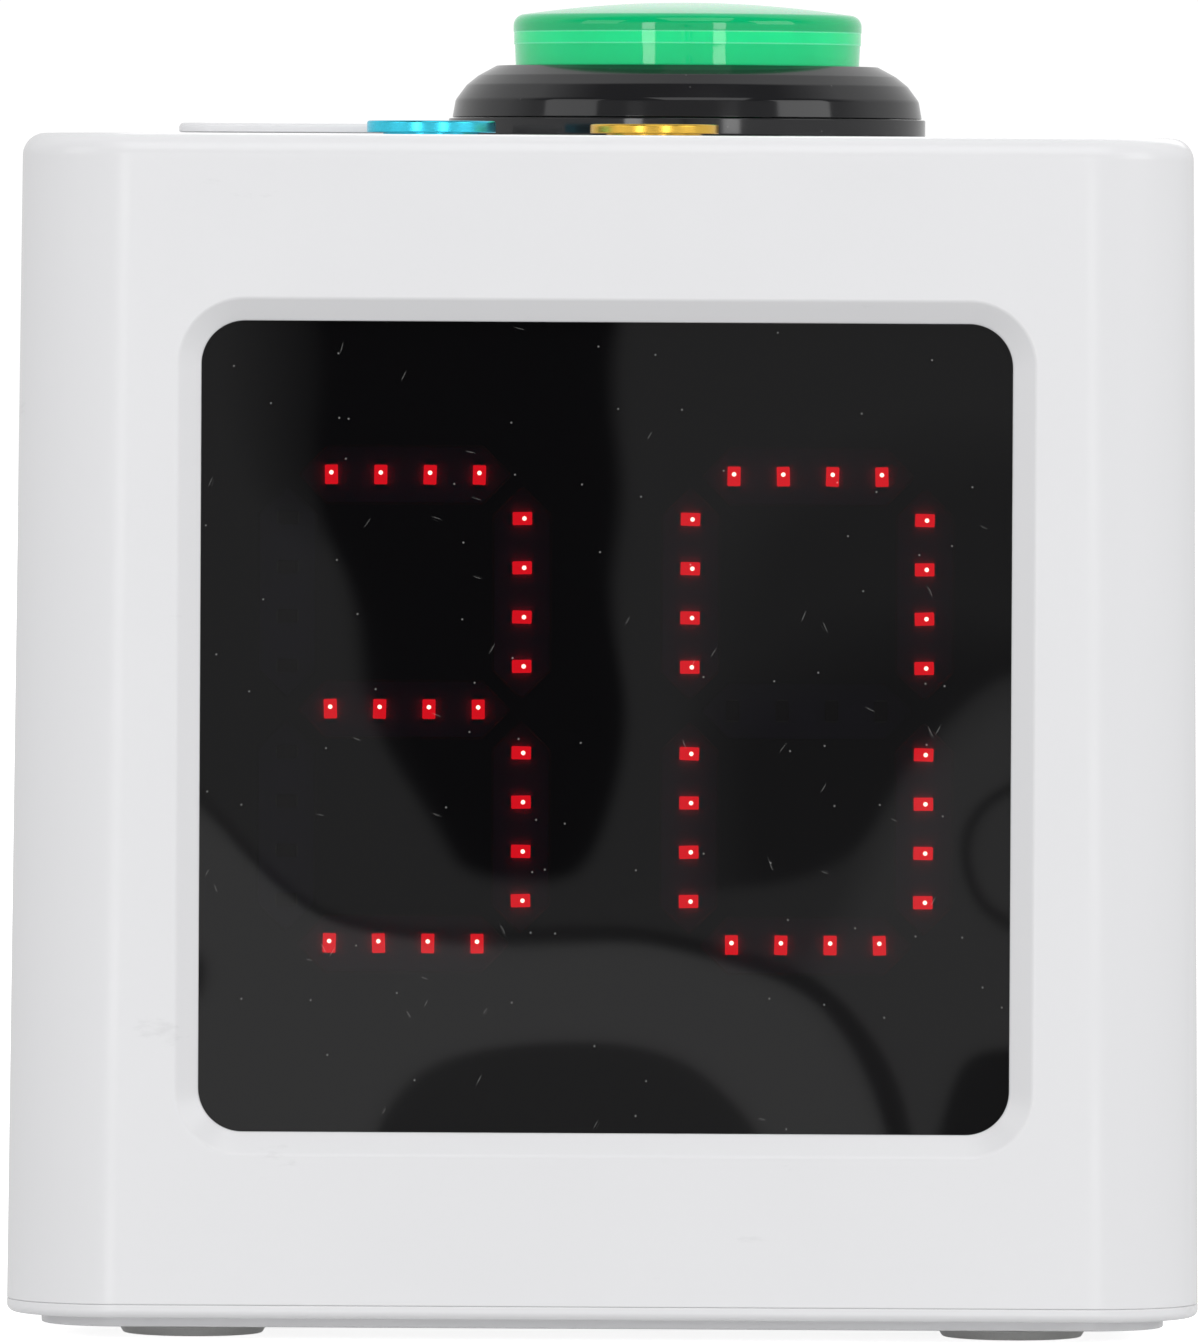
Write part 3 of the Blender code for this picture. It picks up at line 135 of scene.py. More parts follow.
class DisplaySettings(bpy.types.PropertyGroup):
    """The two digits and their lamps."""
    number: IntProperty(name="Number", description="What the two digits show", default=30, min=0, max=99)
    pitch: length("Digit pitch", "Between the middles of the digits", 49.8)
    rise: length("Rise", "Digits' middle above the window's middle", 2.1)
    span: length("Span", "Between parallel strokes", 29.0)
    stroke: length("Stroke", "Length of a stroke", 26.0)
    stroke_width: length("Stroke width", "Width of a stroke", 6.8)
    lamp_pitch: length("Lamp pitch", "Between the lamps of a stroke", 6.1)
    lamp_long: length("Lamp length", "Long side of a lamp", 2.7)
    lamp_short: length("Lamp width", "Short side of a lamp", 1.6)
    lamp_height: length("Lamp height", "Height above the board", 0.8)
    lit: colour("Lit colour", "Light of a lamp's body", "#ff1022")


class DomeSettings(bpy.types.PropertyGroup):
    """Sizes of the large lit button."""
    lens: length("Lens radius", "Radius of the lens at its shoulder", 22.1)
    crown: length("Crown", "Rise of the lens's domed top", 1.55)
    shoulder: length("Shoulder", "Rounding between the lens's side and its top", 1.45)
    lens_wall: length("Lens wall", "Thickness of the lens", 2.0)
    tint: colour("Lens colour", "Translucent green plastic", "#00cd80")


class SmallButtonSettings(bpy.types.PropertyGroup):
    """Sizes of the two metal buttons."""
    head: length("Head", "Radius of the fixed ring", 8.0)
    thread: length("Thread", "Radius of the threaded stem", 6.0)
    cap: length("Cap", "Radius of the moving cap", 4.7)
    blue: colour("Blue", "Blue anodising", "#4ce2ff")
    gold: colour("Gold", "Gold anodising", "#f7c753")


class StudioSettings(bpy.types.PropertyGroup):
    """Camera and light."""
    lens: FloatProperty(name="Lens", description="Focal length", default=435.0, min=20.0, unit="CAMERA")
    distance: length("Distance", "Camera in front of the origin", 2050.0)
    height: length("Height", "Camera above the surface", 137.0)
    aside: length("Aside", "Camera to the side of the middle", -1.05)
    pitch: angle("Pitch", "How far the camera looks down", 1.5505)
    roll: angle("Roll", "Turn about the line of sight", -0.30)
    below: FloatProperty(name="Light from below", description="Strength of the surroundings below the table",
                         default=0.68, min=0.0)
    above: FloatProperty(name="Light from above", description="Strength of the surroundings above the table",
                         default=0.72, min=0.0)
    show_floor: BoolProperty(name="Floor", description="Whether the floor is made", default=True)


# ---------------------------------------------------------------- outlines and solids

def rounded(points, steps=5):
    """A closed outline from (a, b, radius) corners, each corner with a radius turned into an arc."""
    outline = []
    for i, (a, b, radius) in enumerate(points):
        corner = Vector((a, b))
        before = Vector(points[i - 1][:2]) - corner
        after = Vector(points[(i + 1) % len(points)][:2]) - corner
        if radius <= 0:
            outline.append(corner)
            continue
        half = before.angle(after) / 2
        reach = min(radius / math.tan(half), 0.48 * before.length, 0.48 * after.length)
        round_radius = reach * math.tan(half)
        before.normalize()
        after.normalize()
        centre = corner + (before + after).normalized() * (round_radius / math.sin(half))
        start, end = corner + before * reach - centre, corner + after * reach - centre
        turn = start.angle_signed(end)
        for k in range(steps + 1):
            outline.append(centre + Matrix.Rotation(-turn * k / steps, 2) @ start)
    return [(p.x, p.y) for p in outline]


def rounded_rectangle(width, height, radius, steps=16):
    """A rectangle with round corners about the origin."""
    x, y = width / 2, height / 2
    return rounded([(x, y, radius), (-x, y, radius), (-x, -y, radius), (x, -y, radius)], steps)


def rectangle(width, height):
    """A plain rectangle about the origin."""
    return [(width / 2, height / 2), (-width / 2, height / 2), (-width / 2, -height / 2),
            (width / 2, -height / 2)]


def circle(radius, steps):
    """A regular outline about the origin."""
    return [(radius * math.cos(math.tau * i / steps), radius * math.sin(math.tau * i / steps))
            for i in range(steps)]


def moved(outline, x, y):
    """The outline somewhere else."""
    return [(px + x, py + y) for px, py in outline]


def level(outline, z):
    """The outline as a ring of points at one height."""
    return [Vector((x, y, z)) for x, y in outline]


def quarter(steps):
    """(1 - sine, 1 - cosine) of a quarter turn in even steps."""
    turns = [math.radians(90 * i / steps) for i in range(steps + 1)]
    return [(1 - math.sin(turn), 1 - math.cos(turn)) for turn in turns]


def four(x, y):
    """A place and its three mirror images."""
    return [(-x, -y), (x, -y), (-x, y), (x, y)]


def add_loft(mesh_data, rings, place=Matrix.Identity(4)):
    """Skin equal rings of points in order and close the two ends."""
    rows = [[mesh_data.verts.new(place @ point) for point in ring] for ring in rings]
    count = len(rows[0])
    for low, high in zip(rows, rows[1:]):
        for i in range(count):
            j = (i + 1) % count
            mesh_data.faces.new((low[i], low[j], high[j], high[i]))
    mesh_data.faces.new(list(reversed(rows[0])))
    mesh_data.faces.new(rows[-1])


def add_prism(mesh_data, outline, bottom, top, place=Matrix.Identity(4)):
    """A straight prism."""
    add_loft(mesh_data, [level(outline, bottom), level(outline, top)], place)


def add_turned(mesh_data, profile, steps, place=Matrix.Identity(4)):
    """A body turned about Z from a closed outline of (radius, height) points."""
    rings = []
    for radius, height in profile:
        if radius < 1e-7:
            rings.append([mesh_data.verts.new(place @ Vector((0, 0, height)))] * steps)
        else:
            rings.append([mesh_data.verts.new(place @ Vector((x, y, height)))
                          for x, y in circle(radius, steps)])
    for low, high in zip(rings, rings[1:] + rings[:1]):
        if low[0] is low[1] and high[0] is high[1]:
            continue
        for i in range(steps):
            j = (i + 1) % steps
            mesh_data.faces.new(list(dict.fromkeys((low[i], low[j], high[j], high[i]))))


def as_object(name, mesh_data):
    """An object from a finished bmesh, its faces turned outwards."""
    bmesh.ops.recalc_face_normals(mesh_data, faces=mesh_data.faces)
    mesh = bpy.data.meshes.new(name)
    mesh_data.to_mesh(mesh)
    mesh_data.free()
    shape = bpy.data.objects.new(name, mesh)
    bpy.context.scene.collection.objects.link(shape)
    return shape


def settle(shape):
    """Turn an object and its modifiers into a plain mesh."""
    bpy.context.view_layer.update()
    result = bpy.data.meshes.new_from_object(shape.evaluated_get(bpy.context.evaluated_depsgraph_get()))
    before = shape.data
    shape.modifiers.clear()
    shape.data = result
    bpy.data.meshes.remove(before)
    result.name = shape.name
    return shape


def discard(shape):
    """Remove a helper object."""
    used = shape.data
    bpy.data.objects.remove(shape)
    bpy.data.meshes.remove(used)


def carve(target, tool, operation="DIFFERENCE"):
    """Cut the tool's shape out of the target, or join it to the target, and use the tool up."""
    step = target.modifiers.new(operation, "BOOLEAN")
    step.operation = operation
    step.solver = "EXACT"
    step.object = tool
    settle(target)
    discard(tool)
    return target


def finished(shape, material, body, *nodes, slot=None, sharp=32.0, smooth=True):
    """Give a piece its finish and shading, and set it on its body in place of its frame nodes."""
    if material is not None:
        shape.data.materials.clear()
        shape.data.materials.append(material)
        for face in shape.data.polygons:
            face.material_index = 0
    if smooth:
        shape.data.shade_smooth()
        shape.data.set_sharp_from_angle(angle=math.radians(sharp))
        step = shape.modifiers.new("even shading", "WEIGHTED_NORMAL")
        step.keep_sharp = True
        settle(shape)
    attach(shape, body)
    if nodes:
        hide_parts(*nodes)
    return shape


def wall_place(side):
    """The plane of the front (-1) or rear (1) wall at the window's height: Z points out of the wall."""
    shell = bpy.context.scene.timer_shell
    y = SHELL_HIGH.y - shell.window_height * math.tan(shell.lean)
    turn = Euler((math.pi / 2 - shell.lean, 0, 0 if side < 0 else math.pi))
    return Matrix.Translation((0, side * y, SHELL_LOW.z + shell.window_height)) @ turn.to_matrix().to_4x4()


# ---------------------------------------------------------------- copies by geometry nodes

def copies_tree():
    """The node tree that sets a copy of one object on each point, turned by the points' own attribute."""
    name = "copies on points"
    if name in bpy.data.node_groups:
        return bpy.data.node_groups[name]
    tree = bpy.data.node_groups.new(name, "GeometryNodeTree")
    for label, kind in (("Points", "NodeSocketGeometry"), ("Copy", "NodeSocketObject"),
                        ("Size", "NodeSocketFloat"), ("Uneven Turn", "NodeSocketFloat"),
                        ("Seed", "NodeSocketInt"), ("Finish", "NodeSocketMaterial")):
        tree.interface.new_socket(label, in_out="INPUT", socket_type=kind)
    tree.interface.new_socket("Copies", in_out="OUTPUT", socket_type="NodeSocketGeometry")
    inputs = add(tree, "NodeGroupInput")
    copy = add(tree, "GeometryNodeObjectInfo", {"As Instance": True}, {"Object": (inputs, "Copy")})
    turn = add(tree, "GeometryNodeInputNamedAttribute", {"Name": "turn"}, data_type="FLOAT")
    least = add(tree, "ShaderNodeMath", links={0: (inputs, "Uneven Turn")}, values={1: -1.0},
                operation="MULTIPLY")
    chance = add(tree, "FunctionNodeRandomValue", links={
        "Min": (least, 0), "Max": (inputs, "Uneven Turn"), "Seed": (inputs, "Seed")}, data_type="FLOAT")
    total = worked(tree, "ADD", (turn, "Attribute"), (chance, "Value"))
    spin = add(tree, "ShaderNodeCombineXYZ", links={"Z": (total, 0)})
    placed = add(tree, "GeometryNodeInstanceOnPoints", links={
        "Points": (inputs, "Points"), "Instance": (copy, "Geometry"), "Rotation": (spin, "Vector"),
        "Scale": (inputs, "Size")})
    real = add(tree, "GeometryNodeRealizeInstances", links={"Geometry": (placed, "Instances")})
    coated = add(tree, "GeometryNodeSetMaterial", links={
        "Geometry": (real, "Geometry"), "Material": (inputs, "Finish")})
    add(tree, "NodeGroupOutput", links={"Copies": (coated, "Geometry")})
    return tree


def copies(name, pattern, places, material, uneven=0.0, seed=1):
    """One mesh of equal shapes at (x, y, z, turn) places, and the pattern is used up."""
    mesh = bpy.data.meshes.new(name)
    mesh.from_pydata([place[:3] for place in places], [], [])
    mesh.attributes.new("turn", "FLOAT", "POINT").data.foreach_set("value", [p[3] for p in places])
    holder = bpy.data.objects.new(name, mesh)
    bpy.context.scene.collection.objects.link(holder)
    tree = copies_tree()
    step = holder.modifiers.new("copies", "NODES")
    step.node_group = tree
    values = {"Copy": pattern, "Size": 1.0, "Uneven Turn": uneven, "Seed": seed, "Finish": material}
    for socket in tree.interface.items_tree:
        if socket.item_type == "SOCKET" and socket.in_out == "INPUT" and socket.name in values:
            step[socket.identifier] = values[socket.name]
    settle(holder)
    discard(pattern)
    return holder


# ---------------------------------------------------------------- finishes

def add(tree, kind, values=None, links=None, **settings):
    """One node with its settings, input values and links, each link as (node, output)."""
    node = tree.nodes.new(kind)
    for name, value in settings.items():
        setattr(node, name, value)
    for key, value in (values or {}).items():
        node.inputs[key].default_value = value
    for key, (source, output) in (links or {}).items():
        tree.links.new(source.outputs[output], node.inputs[key])
    return node


def surface(name, base, roughness, **values):
    """A material with plain values on its shader: (material, tree, shader, object coordinates)."""
    material = bpy.data.materials.new(name)
    material.use_nodes = True
    tree = material.node_tree
    shader = tree.nodes["Principled BSDF"]
    shader.inputs["Base Color"].default_value = (*base, 1.0)
    shader.inputs["Roughness"].default_value = roughness
    for key, value in values.items():
        socket = shader.inputs[key.replace("_", " ").title().replace("Ior", "IOR")]
        socket.default_value = (*value, 1.0) if isinstance(value, tuple) else value
    material.diffuse_color = (*base, 1.0)
    return material, tree, shader, add(tree, "ShaderNodeTexCoord")


def noise(tree, at, scale, detail):
    """Noise laid over the given coordinates."""
    return add(tree, "ShaderNodeTexNoise", {"Scale": scale, "Detail": detail}, {"Vector": at})


def ranged(tree, source, low, high, start=0.0, end=1.0):
    """The source's span from start to end, spread from low to high."""
    return add(tree, "ShaderNodeMapRange", {"From Min": start, "From Max": end, "To Min": low,
                                            "To Max": high}, {"Value": source})


def worked(tree, operation, first, second):
    """One sum, product or comparison of two sources."""
    return add(tree, "ShaderNodeMath", links={0: first, 1: second}, operation=operation)


def blended(tree, base, other, factor):
    """The base colour, going over to the other where the factor rises."""
    return add(tree, "ShaderNodeMix", {"A": (*base, 1.0), "B": (*other, 1.0)}, {"Factor": factor},
               data_type="RGBA")


def darkened(tree, shader, base, shade):
    """Colour the shader with the base, darkened by the shade."""
    tinted = add(tree, "ShaderNodeMix", {"Factor": 1.0, "A": (*base, 1.0)}, {"B": shade},
                 data_type="RGBA", blend_type="MULTIPLY")
    tree.links.new(tinted.outputs["Result"], shader.inputs["Base Color"])


def glossed(tree, shader, source, low, high):
    """Let the shader's roughness vary between low and high."""
    tree.links.new(ranged(tree, source, low, high).outputs["Result"], shader.inputs["Roughness"])


def relief(tree, shader, source, strength, distance):
    """Give the shader a fine relief from the source's factor."""
    bump = add(tree, "ShaderNodeBump", {"Strength": strength, "Distance": distance},
               {"Height": (source, "Fac")})
    tree.links.new(bump.outputs["Normal"], shader.inputs["Normal"])


def moulded_white_abs():
    """White ABS from a polished tool: satin gloss, faint orange peel, and a few rubbed marks."""
    base = tuple(bpy.context.scene.timer_shell.tint)
    material, tree, shader, at = surface("moulded_white_abs", base, 0.2, ior=1.53)
    # Slow change of shade of a thick moulding, about 45 mm across
    cloud = noise(tree, (at, "Object"), 22.0, 2.0)
    tone = ranged(tree, (cloud, "Fac"), 0.985, 1.0)
    # Rubbed dark marks, sparse streaks a few millimetres long
    along = add(tree, "ShaderNodeMapping", {"Scale": (90.0, 90.0, 260.0), "Rotation": (0.0, 0.45, 0.0)},
                {"Vector": (at, "Object")})
    rub = add(tree, "ShaderNodeTexNoise", {"Scale": 1.0, "Detail": 5.0, "Roughness": 0.62},
              {"Vector": (along, "Vector")})
    patch = noise(tree, (at, "Object"), 38.0, 1.0)
    both = worked(tree, "MULTIPLY", (rub, "Fac"), (patch, "Fac"))
    marks = ranged(tree, (both, "Value"), 1.0, 0.90, 0.40, 0.47)
    shade = worked(tree, "MULTIPLY", (tone, "Result"), (marks, "Result"))
    darkened(tree, shader, base, (shade, "Value"))
    # Orange peel 2.5 mm apart, and gloss that varies with handling
    peel = noise(tree, (at, "Object"), 400.0, 2.0)
    relief(tree, shader, peel, 0.35, 0.00001)
    handled = noise(tree, (at, "Object"), 60.0, 6.0)
    glossed(tree, shader, (handled, "Fac"), 0.14, 0.30)
    return material


def polished_smoked_acrylic():
    """Cast smoked acrylic: mirror-smooth and nearly black, with dust and short hairline scratches."""
    base = tuple(bpy.context.scene.timer_window.tint)
    material, tree, shader, at = surface("polished_smoked_acrylic", base, 0.015, ior=1.49, alpha=0.70)
    # The marks lie in the pane's own plane, so their patterns are flat
    flat = add(tree, "ShaderNodeMapping", {"Rotation": (math.pi / 2, 0.0, 0.0)}, {"Vector": (at, "Object")})
    # Dust specks 0.2 mm across, one in each 8 mm cell, half of them left out
    dust = add(tree, "ShaderNodeTexVoronoi", {"Scale": 125.0}, {"Vector": (flat, "Vector")},
               voronoi_dimensions="2D")
    speck = ranged(tree, (dust, "Distance"), 1.0, 0.0, 0.010, 0.019)
    keep = add(tree, "ShaderNodeMath", {1: 0.48}, {0: (dust, "Color")}, operation="GREATER_THAN")
    marks = worked(tree, "MULTIPLY", (speck, "Result"), (keep, "Value"))
    # Curved hairlines 1 to 2 mm long and 0.07 mm wide, in three directions
    bend = noise(tree, (flat, "Vector"), 260.0, 1.0)
    swayed = add(tree, "ShaderNodeVectorMath", {1: (0.0012, 0.0012, 0.0)}, {0: (bend, "Color")},
                 operation="MULTIPLY")
    curved = add(tree, "ShaderNodeVectorMath", links={0: (flat, "Vector"), 1: (swayed, "Vector")},
                 operation="ADD")
    for turn, scale, chosen in ((0.5, 210.0, 0.52), (1.9, 240.0, 0.58), (2.7, 190.0, 0.58)):
        slant = add(tree, "ShaderNodeMapping", {"Rotation": (0.0, 0.0, turn), "Scale": (1.0, 14.0, 1.0)},
                    {"Vector": (curved, "Vector")}, vector_type="TEXTURE")
        cells = add(tree, "ShaderNodeTexVoronoi", {"Scale": scale}, {"Vector": (slant, "Vector")},
                    voronoi_dimensions="2D")
        line = ranged(tree, (cells, "Distance"), 0.7, 0.0, 0.006, 0.013)
        few = add(tree, "ShaderNodeMath", {1: chosen}, {0: (cells, "Color")}, operation="GREATER_THAN")
        lines = worked(tree, "MULTIPLY", (line, "Result"), (few, "Value"))
        marks = worked(tree, "MAXIMUM", (marks, "Value"), (lines, "Value"))
    faint = add(tree, "ShaderNodeMath", {1: 0.5}, {0: (marks, "Value")}, operation="MULTIPLY")
    tinted = blended(tree, base, srgb("#b9b9b6"), (faint, "Value"))
    tree.links.new(tinted.outputs["Result"], shader.inputs["Base Color"])
    rough = ranged(tree, (marks, "Value"), 0.015, 0.45)
    tree.links.new(rough.outputs["Result"], shader.inputs["Roughness"])
    return material


def moulded_black_abs():
    """Black ABS from a mirror-polished tool: deep gloss with fine dust and wear."""
    base = srgb("#1a1a1c")
    material, tree, shader, at = surface("moulded_black_abs", base, 0.07, ior=1.50)
    dust = add(tree, "ShaderNodeTexVoronoi", {"Scale": 420.0}, {"Vector": (at, "Object")})
    speck = ranged(tree, (dust, "Distance"), 0.16, 0.0, 0.03, 0.07)
    tinted = blended(tree, base, srgb("#8d8c8a"), (speck, "Result"))
    tree.links.new(tinted.outputs["Result"], shader.inputs["Base Color"])
    smear = noise(tree, (at, "Object"), 110.0, 5.0)
    glossed(tree, shader, (smear, "Fac"), 0.04, 0.16)
    swell = noise(tree, (at, "Object"), 160.0, 1.0)
    relief(tree, shader, swell, 0.5, 0.00002)
    return material


def moulded_green_lens():
    """Translucent green acrylic: glossy outside, a faint painted glow standing for light from within, its depth
    marked by level rings of painted shade and highlight.
    """
    base = tuple(bpy.context.scene.timer_dome.tint)
    # The lens is no lamp: its faint green emission is a painted glow standing for light from within
    material, tree, shader, at = surface(
        "moulded_green_lens", base, 0.05, ior=1.49, subsurface_weight=0.35, subsurface_scale=0.004,
        emission_color=srgb("#00c87a"), emission_strength=0.28)
    shader.inputs["Subsurface Radius"].default_value = (0.1, 1.0, 0.5)
    place = add(tree, "ShaderNodeSeparateXYZ", links={"Vector": (at, "Object")})
    # Three level rings of colour by height: the thick shoulder painted deepest in colour as shade, parted by
    # fine bright lines that are painted highlights at the two steps
    height = add(tree, "ShaderNodeMapRange", {"From Min": TOP + 0.0090, "From Max": TOP + 0.0175},
                 {"Value": (place, "Z")})
    shaded_levels = add(tree, "ShaderNodeValToRGB", links={"Fac": (height, "Result")})
    # deep paints shade on the thick shoulder, and line paints a highlight at each step
    deep, mid, low, line = (srgb(code) for code in ("#009c60", "#00dc8a", "#00c87c", "#6fe8b4"))
    stops = [(0.0, srgb("#0a8a55")), (0.04, low), (0.325, low), (0.34, line), (0.355, mid), (0.50, mid),
             (0.515, line), (0.53, deep), (0.70, deep), (0.76, srgb("#1f9e6e")), (1.0, srgb("#2f9a70"))]
    ramp = shaded_levels.color_ramp
    for position, value in stops:
        stop = ramp.elements.new(position)
        stop.color = (*value, 1.0)
    for spare in [stop for stop in ramp.elements if stop.color[0] == 0 == stop.color[1]
                  or min(stop.color[:3]) == 1.0]:
        ramp.elements.remove(spare)
    cloud = noise(tree, (at, "Object"), 160.0, 4.0)
    tone = ranged(tree, (cloud, "Fac"), 0.82, 1.05)
    # Painted reflection: seen edge-on, the clear skin's base colour pales, standing for the room behind it that
    # it shows
    rim = add(tree, "ShaderNodeLayerWeight", {"Blend": 0.32})
    pale = add(tree, "ShaderNodeMapRange", {"From Min": 0.45, "From Max": 1.0, "To Max": 0.28},
               {"Value": (rim, "Facing")})
    tinted = add(tree, "ShaderNodeMix", {"Factor": 1.0}, {"A": (shaded_levels, "Color"), "B": (tone, "Result")},
                 data_type="RGBA", blend_type="MULTIPLY")
    # skin is the base colour with this painted reflection mixed in towards pale green
    skin = add(tree, "ShaderNodeMix", {"B": (*srgb("#a9e2cd"), 1.0)},
               {"Factor": (pale, "Result"), "A": (tinted, "Result")}, data_type="RGBA")
    tree.links.new(skin.outputs["Result"], shader.inputs["Base Color"])
    # The moulding's long slow waves bend its reflections
    peel = noise(tree, (at, "Object"), 260.0, 1.0)
    relief(tree, shader, peel, 0.5, 0.00004)
    return material


def mottled(name, base, roughness, grain, depth, spread=0.12, **values):
    """A plain moulded or coated surface whose shade, gloss and texture vary at one grain size."""
    material, tree, shader, at = surface(name, base, roughness, **values)
    grains = noise(tree, (at, "Object"), 1.0 / grain, 4.0)
    tone = ranged(tree, (grains, "Fac"), 1.0 - spread, 1.0)
    darkened(tree, shader, base, (tone, "Result"))
    glossed(tree, shader, (grains, "Fac"), roughness * 0.85, roughness * 1.2)
    relief(tree, shader, grains, 0.6, depth)
    return material


def moulded_pale_rubber():
    """Pale moulded rubber: soft, slightly dusty, with a fine grain 0.4 mm apart."""
    return mottled("moulded_pale_rubber", srgb("#f4f4f2"), 0.55, 0.4 * MM, 0.02 * MM, ior=1.5)


def moulded_black_mask():
    """Matt black plastic with spark-eroded grain 0.3 mm apart, so that the strokes do not shine."""
    return mottled("moulded_black_mask", srgb("#0c0b0e"), 0.65, 0.3 * MM, 0.01 * MM, ior=1.5)


def black_solder_mask():
    """Dark solder mask over glass cloth: half gloss, the weave 0.5 mm apart just visible."""
    return mottled("black_solder_mask", srgb("#7d6fae"), 0.45, 0.5 * MM, 0.01 * MM, ior=1.5)


def lit_lamp_epoxy():
    """Red epoxy over a working lamp: it glows all through, a little unevenly."""
    glow = tuple(bpy.context.scene.timer_display.lit)
    return mottled("lit_lamp_epoxy", srgb("#c01018"), 0.3, 0.5 * MM, 0.005 * MM, ior=1.5,
                   emission_color=glow, emission_strength=7.0)


def lit_lamp_die():
    """The working chip in each lamp: so bright that it looks almost white."""
    return mottled("lit_lamp_die", srgb("#ffd9cf"), 0.3, 0.2 * MM, 0.001 * MM,
                   emission_color=srgb("#ffc9b8"), emission_strength=24.0)


def dark_lamp_epoxy():
    """Clear red epoxy of a lamp that is off."""
    return mottled("dark_lamp_epoxy", srgb("#4a2a2c"), 0.2, 0.5 * MM, 0.005 * MM, ior=1.5)


def tinned_copper():
    """Tinned and reflowed solder: soft silver with an uneven skin."""
    return mottled("tinned_copper", srgb("#b9b8b4"), 0.35, 0.3 * MM, 0.01 * MM, metallic=1.0)


def milky_polystyrene():
    """Milky moulded plastic that spreads the lamp's light."""
    return mottled("milky_polystyrene", srgb("#e2e6e3"), 0.35, 2.0 * MM, 0.01 * MM, 0.06,
                   subsurface_weight=0.3, subsurface_scale=0.003)


def moulded_dark_plastic():
    """Dark glass-filled nylon with a dull flecked skin."""
    return mottled("moulded_dark_plastic", srgb("#242427"), 0.5, 0.6 * MM, 0.01 * MM, 0.25)


def green_solder_mask():
    """Green circuit board: tracks raised 0.035 mm under half-gloss solder mask."""
    base = srgb("#14693c")
    material, tree, shader, at = surface("green_solder_mask", base, 0.35)
    tracks = add(tree, "ShaderNodeTexBrick", {
        "Scale": 160.0, "Mortar Size": 0.12, "Color1": (*base, 1.0), "Color2": (*srgb("#0f5a33"), 1.0),
        "Mortar": (*srgb("#1f8a50"), 1.0)}, {"Vector": (at, "Object")})
    tree.links.new(tracks.outputs["Color"], shader.inputs["Base Color"])
    relief(tree, shader, tracks, 0.5, 0.000035)
    return material


def zinc_plated_steel():
    """Bright zinc plate over drawn steel: silver, faintly streaked."""
    return mottled("zinc_plated_steel", srgb("#c3c4c6"), 0.28, 0.5 * MM, 0.004 * MM, 0.15, metallic=1.0)


def turned_brass():
    """Turned brass standoffs, fine tool lines on a warm metal."""
    return mottled("turned_brass", srgb("#d9b36a"), 0.25, 0.2 * MM, 0.004 * MM, 0.15, metallic=1.0)


def shrunk_blue_sleeve():
    """Blue PVC sleeve shrunk over the cells, with soft creases 3 mm apart."""
    return mottled("shrunk_blue_sleeve", srgb("#2f5fb0"), 0.3, 3.0 * MM, 0.15 * MM, 0.10)


def anodised_aluminium(shade):
    """Turned and dyed aluminium: metallic colour with lathe rings 0.12 mm apart, drawn coarser to show."""
    name = shade + "_anodised_aluminium"
    if name in bpy.data.materials:
        return bpy.data.materials[name]
    base = tuple(getattr(bpy.context.scene.timer_small, shade))
    material, tree, shader, at = surface(name, base, 0.26, metallic=1.0)
    place = SMALL_PLACES[shade]
    centred = add(tree, "ShaderNodeMapping", {"Location": (-place.x, -place.y, -place.z)},
                  {"Vector": (at, "Object")})
    rings = add(tree, "ShaderNodeTexWave", {"Scale": 260.0, "Distortion": 0.6, "Detail": 2.0},
                {"Vector": (centred, "Vector")}, wave_type="RINGS", rings_direction="Z")
    fine = noise(tree, (at, "Object"), 2500.0, 3.0)
    tone = ranged(tree, (fine, "Fac"), 0.86, 1.0)
    darkened(tree, shader, base, (tone, "Result"))
    relief(tree, shader, rings, 0.4, 0.00001)
    return material


def once(maker):
    """A finish that is made the first time it is asked for."""
    return bpy.data.materials.get(maker.__name__) or maker()


# ---------------------------------------------------------------- housing

def body_outline(z, inset=0.0, steps=24):
    """The housing's outline at a height, drawn in by an inset."""
    shell = bpy.context.scene.timer_shell
    lean = 2 * max(z - SHELL_LOW.z, 0.0) * math.tan(shell.lean)
    size = SHELL_HIGH - SHELL_LOW
    return rounded_rectangle(size.x - lean - 2 * inset, size.y - lean - 2 * inset, shell.corner - inset,
                             steps)


def sound_holes(rear):
    """A cutter for the ring of sound holes, each lightly countersunk, in the rear wall's plane."""
    pattern = bmesh.new()
    add_turned(pattern, [(0, -5 * MM), (1.0 * MM, -5 * MM), (1.0 * MM, -0.25 * MM), (1.6 * MM, 0.35 * MM),
                         (0, 0.35 * MM)], 24)
    places = [(0, 0, 0, 0)] + [(x, y, 0, 0) for x, y in circle(4 * MM, 6)]
    cutter = copies("sound_holes", as_object("hole", pattern), places, None)
    cutter.data.transform(rear)
    return cutter


def window_cutter(front):
    """A cutter for the window: straight edge, sloping edge, and a small round at each of its lines."""
    window, shell = bpy.context.scene.timer_window, bpy.context.scene.timer_shell
    width, depth = window.bevel_width, window.bevel_depth
    slope = width / depth
    section = rounded([(0, -shell.wall - 2 * MM, 0), (0, -depth, 0.45 * MM), (width, 0, 0.9 * MM),
                       (width + 12 * MM, 0.35 * MM, 0), (width + slope * MM, 6 * MM, 0)], 6)
    section = [point for point in section if point[0] < width + 6 * MM or point[1] < 0.3 * MM][:-1]
    section.append((section[-1][0], 3 * MM))
    rings = []
    for out, height in section:
        size = window.size + 2 * out
        rings.append(level(rounded_rectangle(size, size, window.corner + out, 20), height))
    cutter = bmesh.new()
    add_loft(cutter, rings, front)
    return as_object("window", cutter)


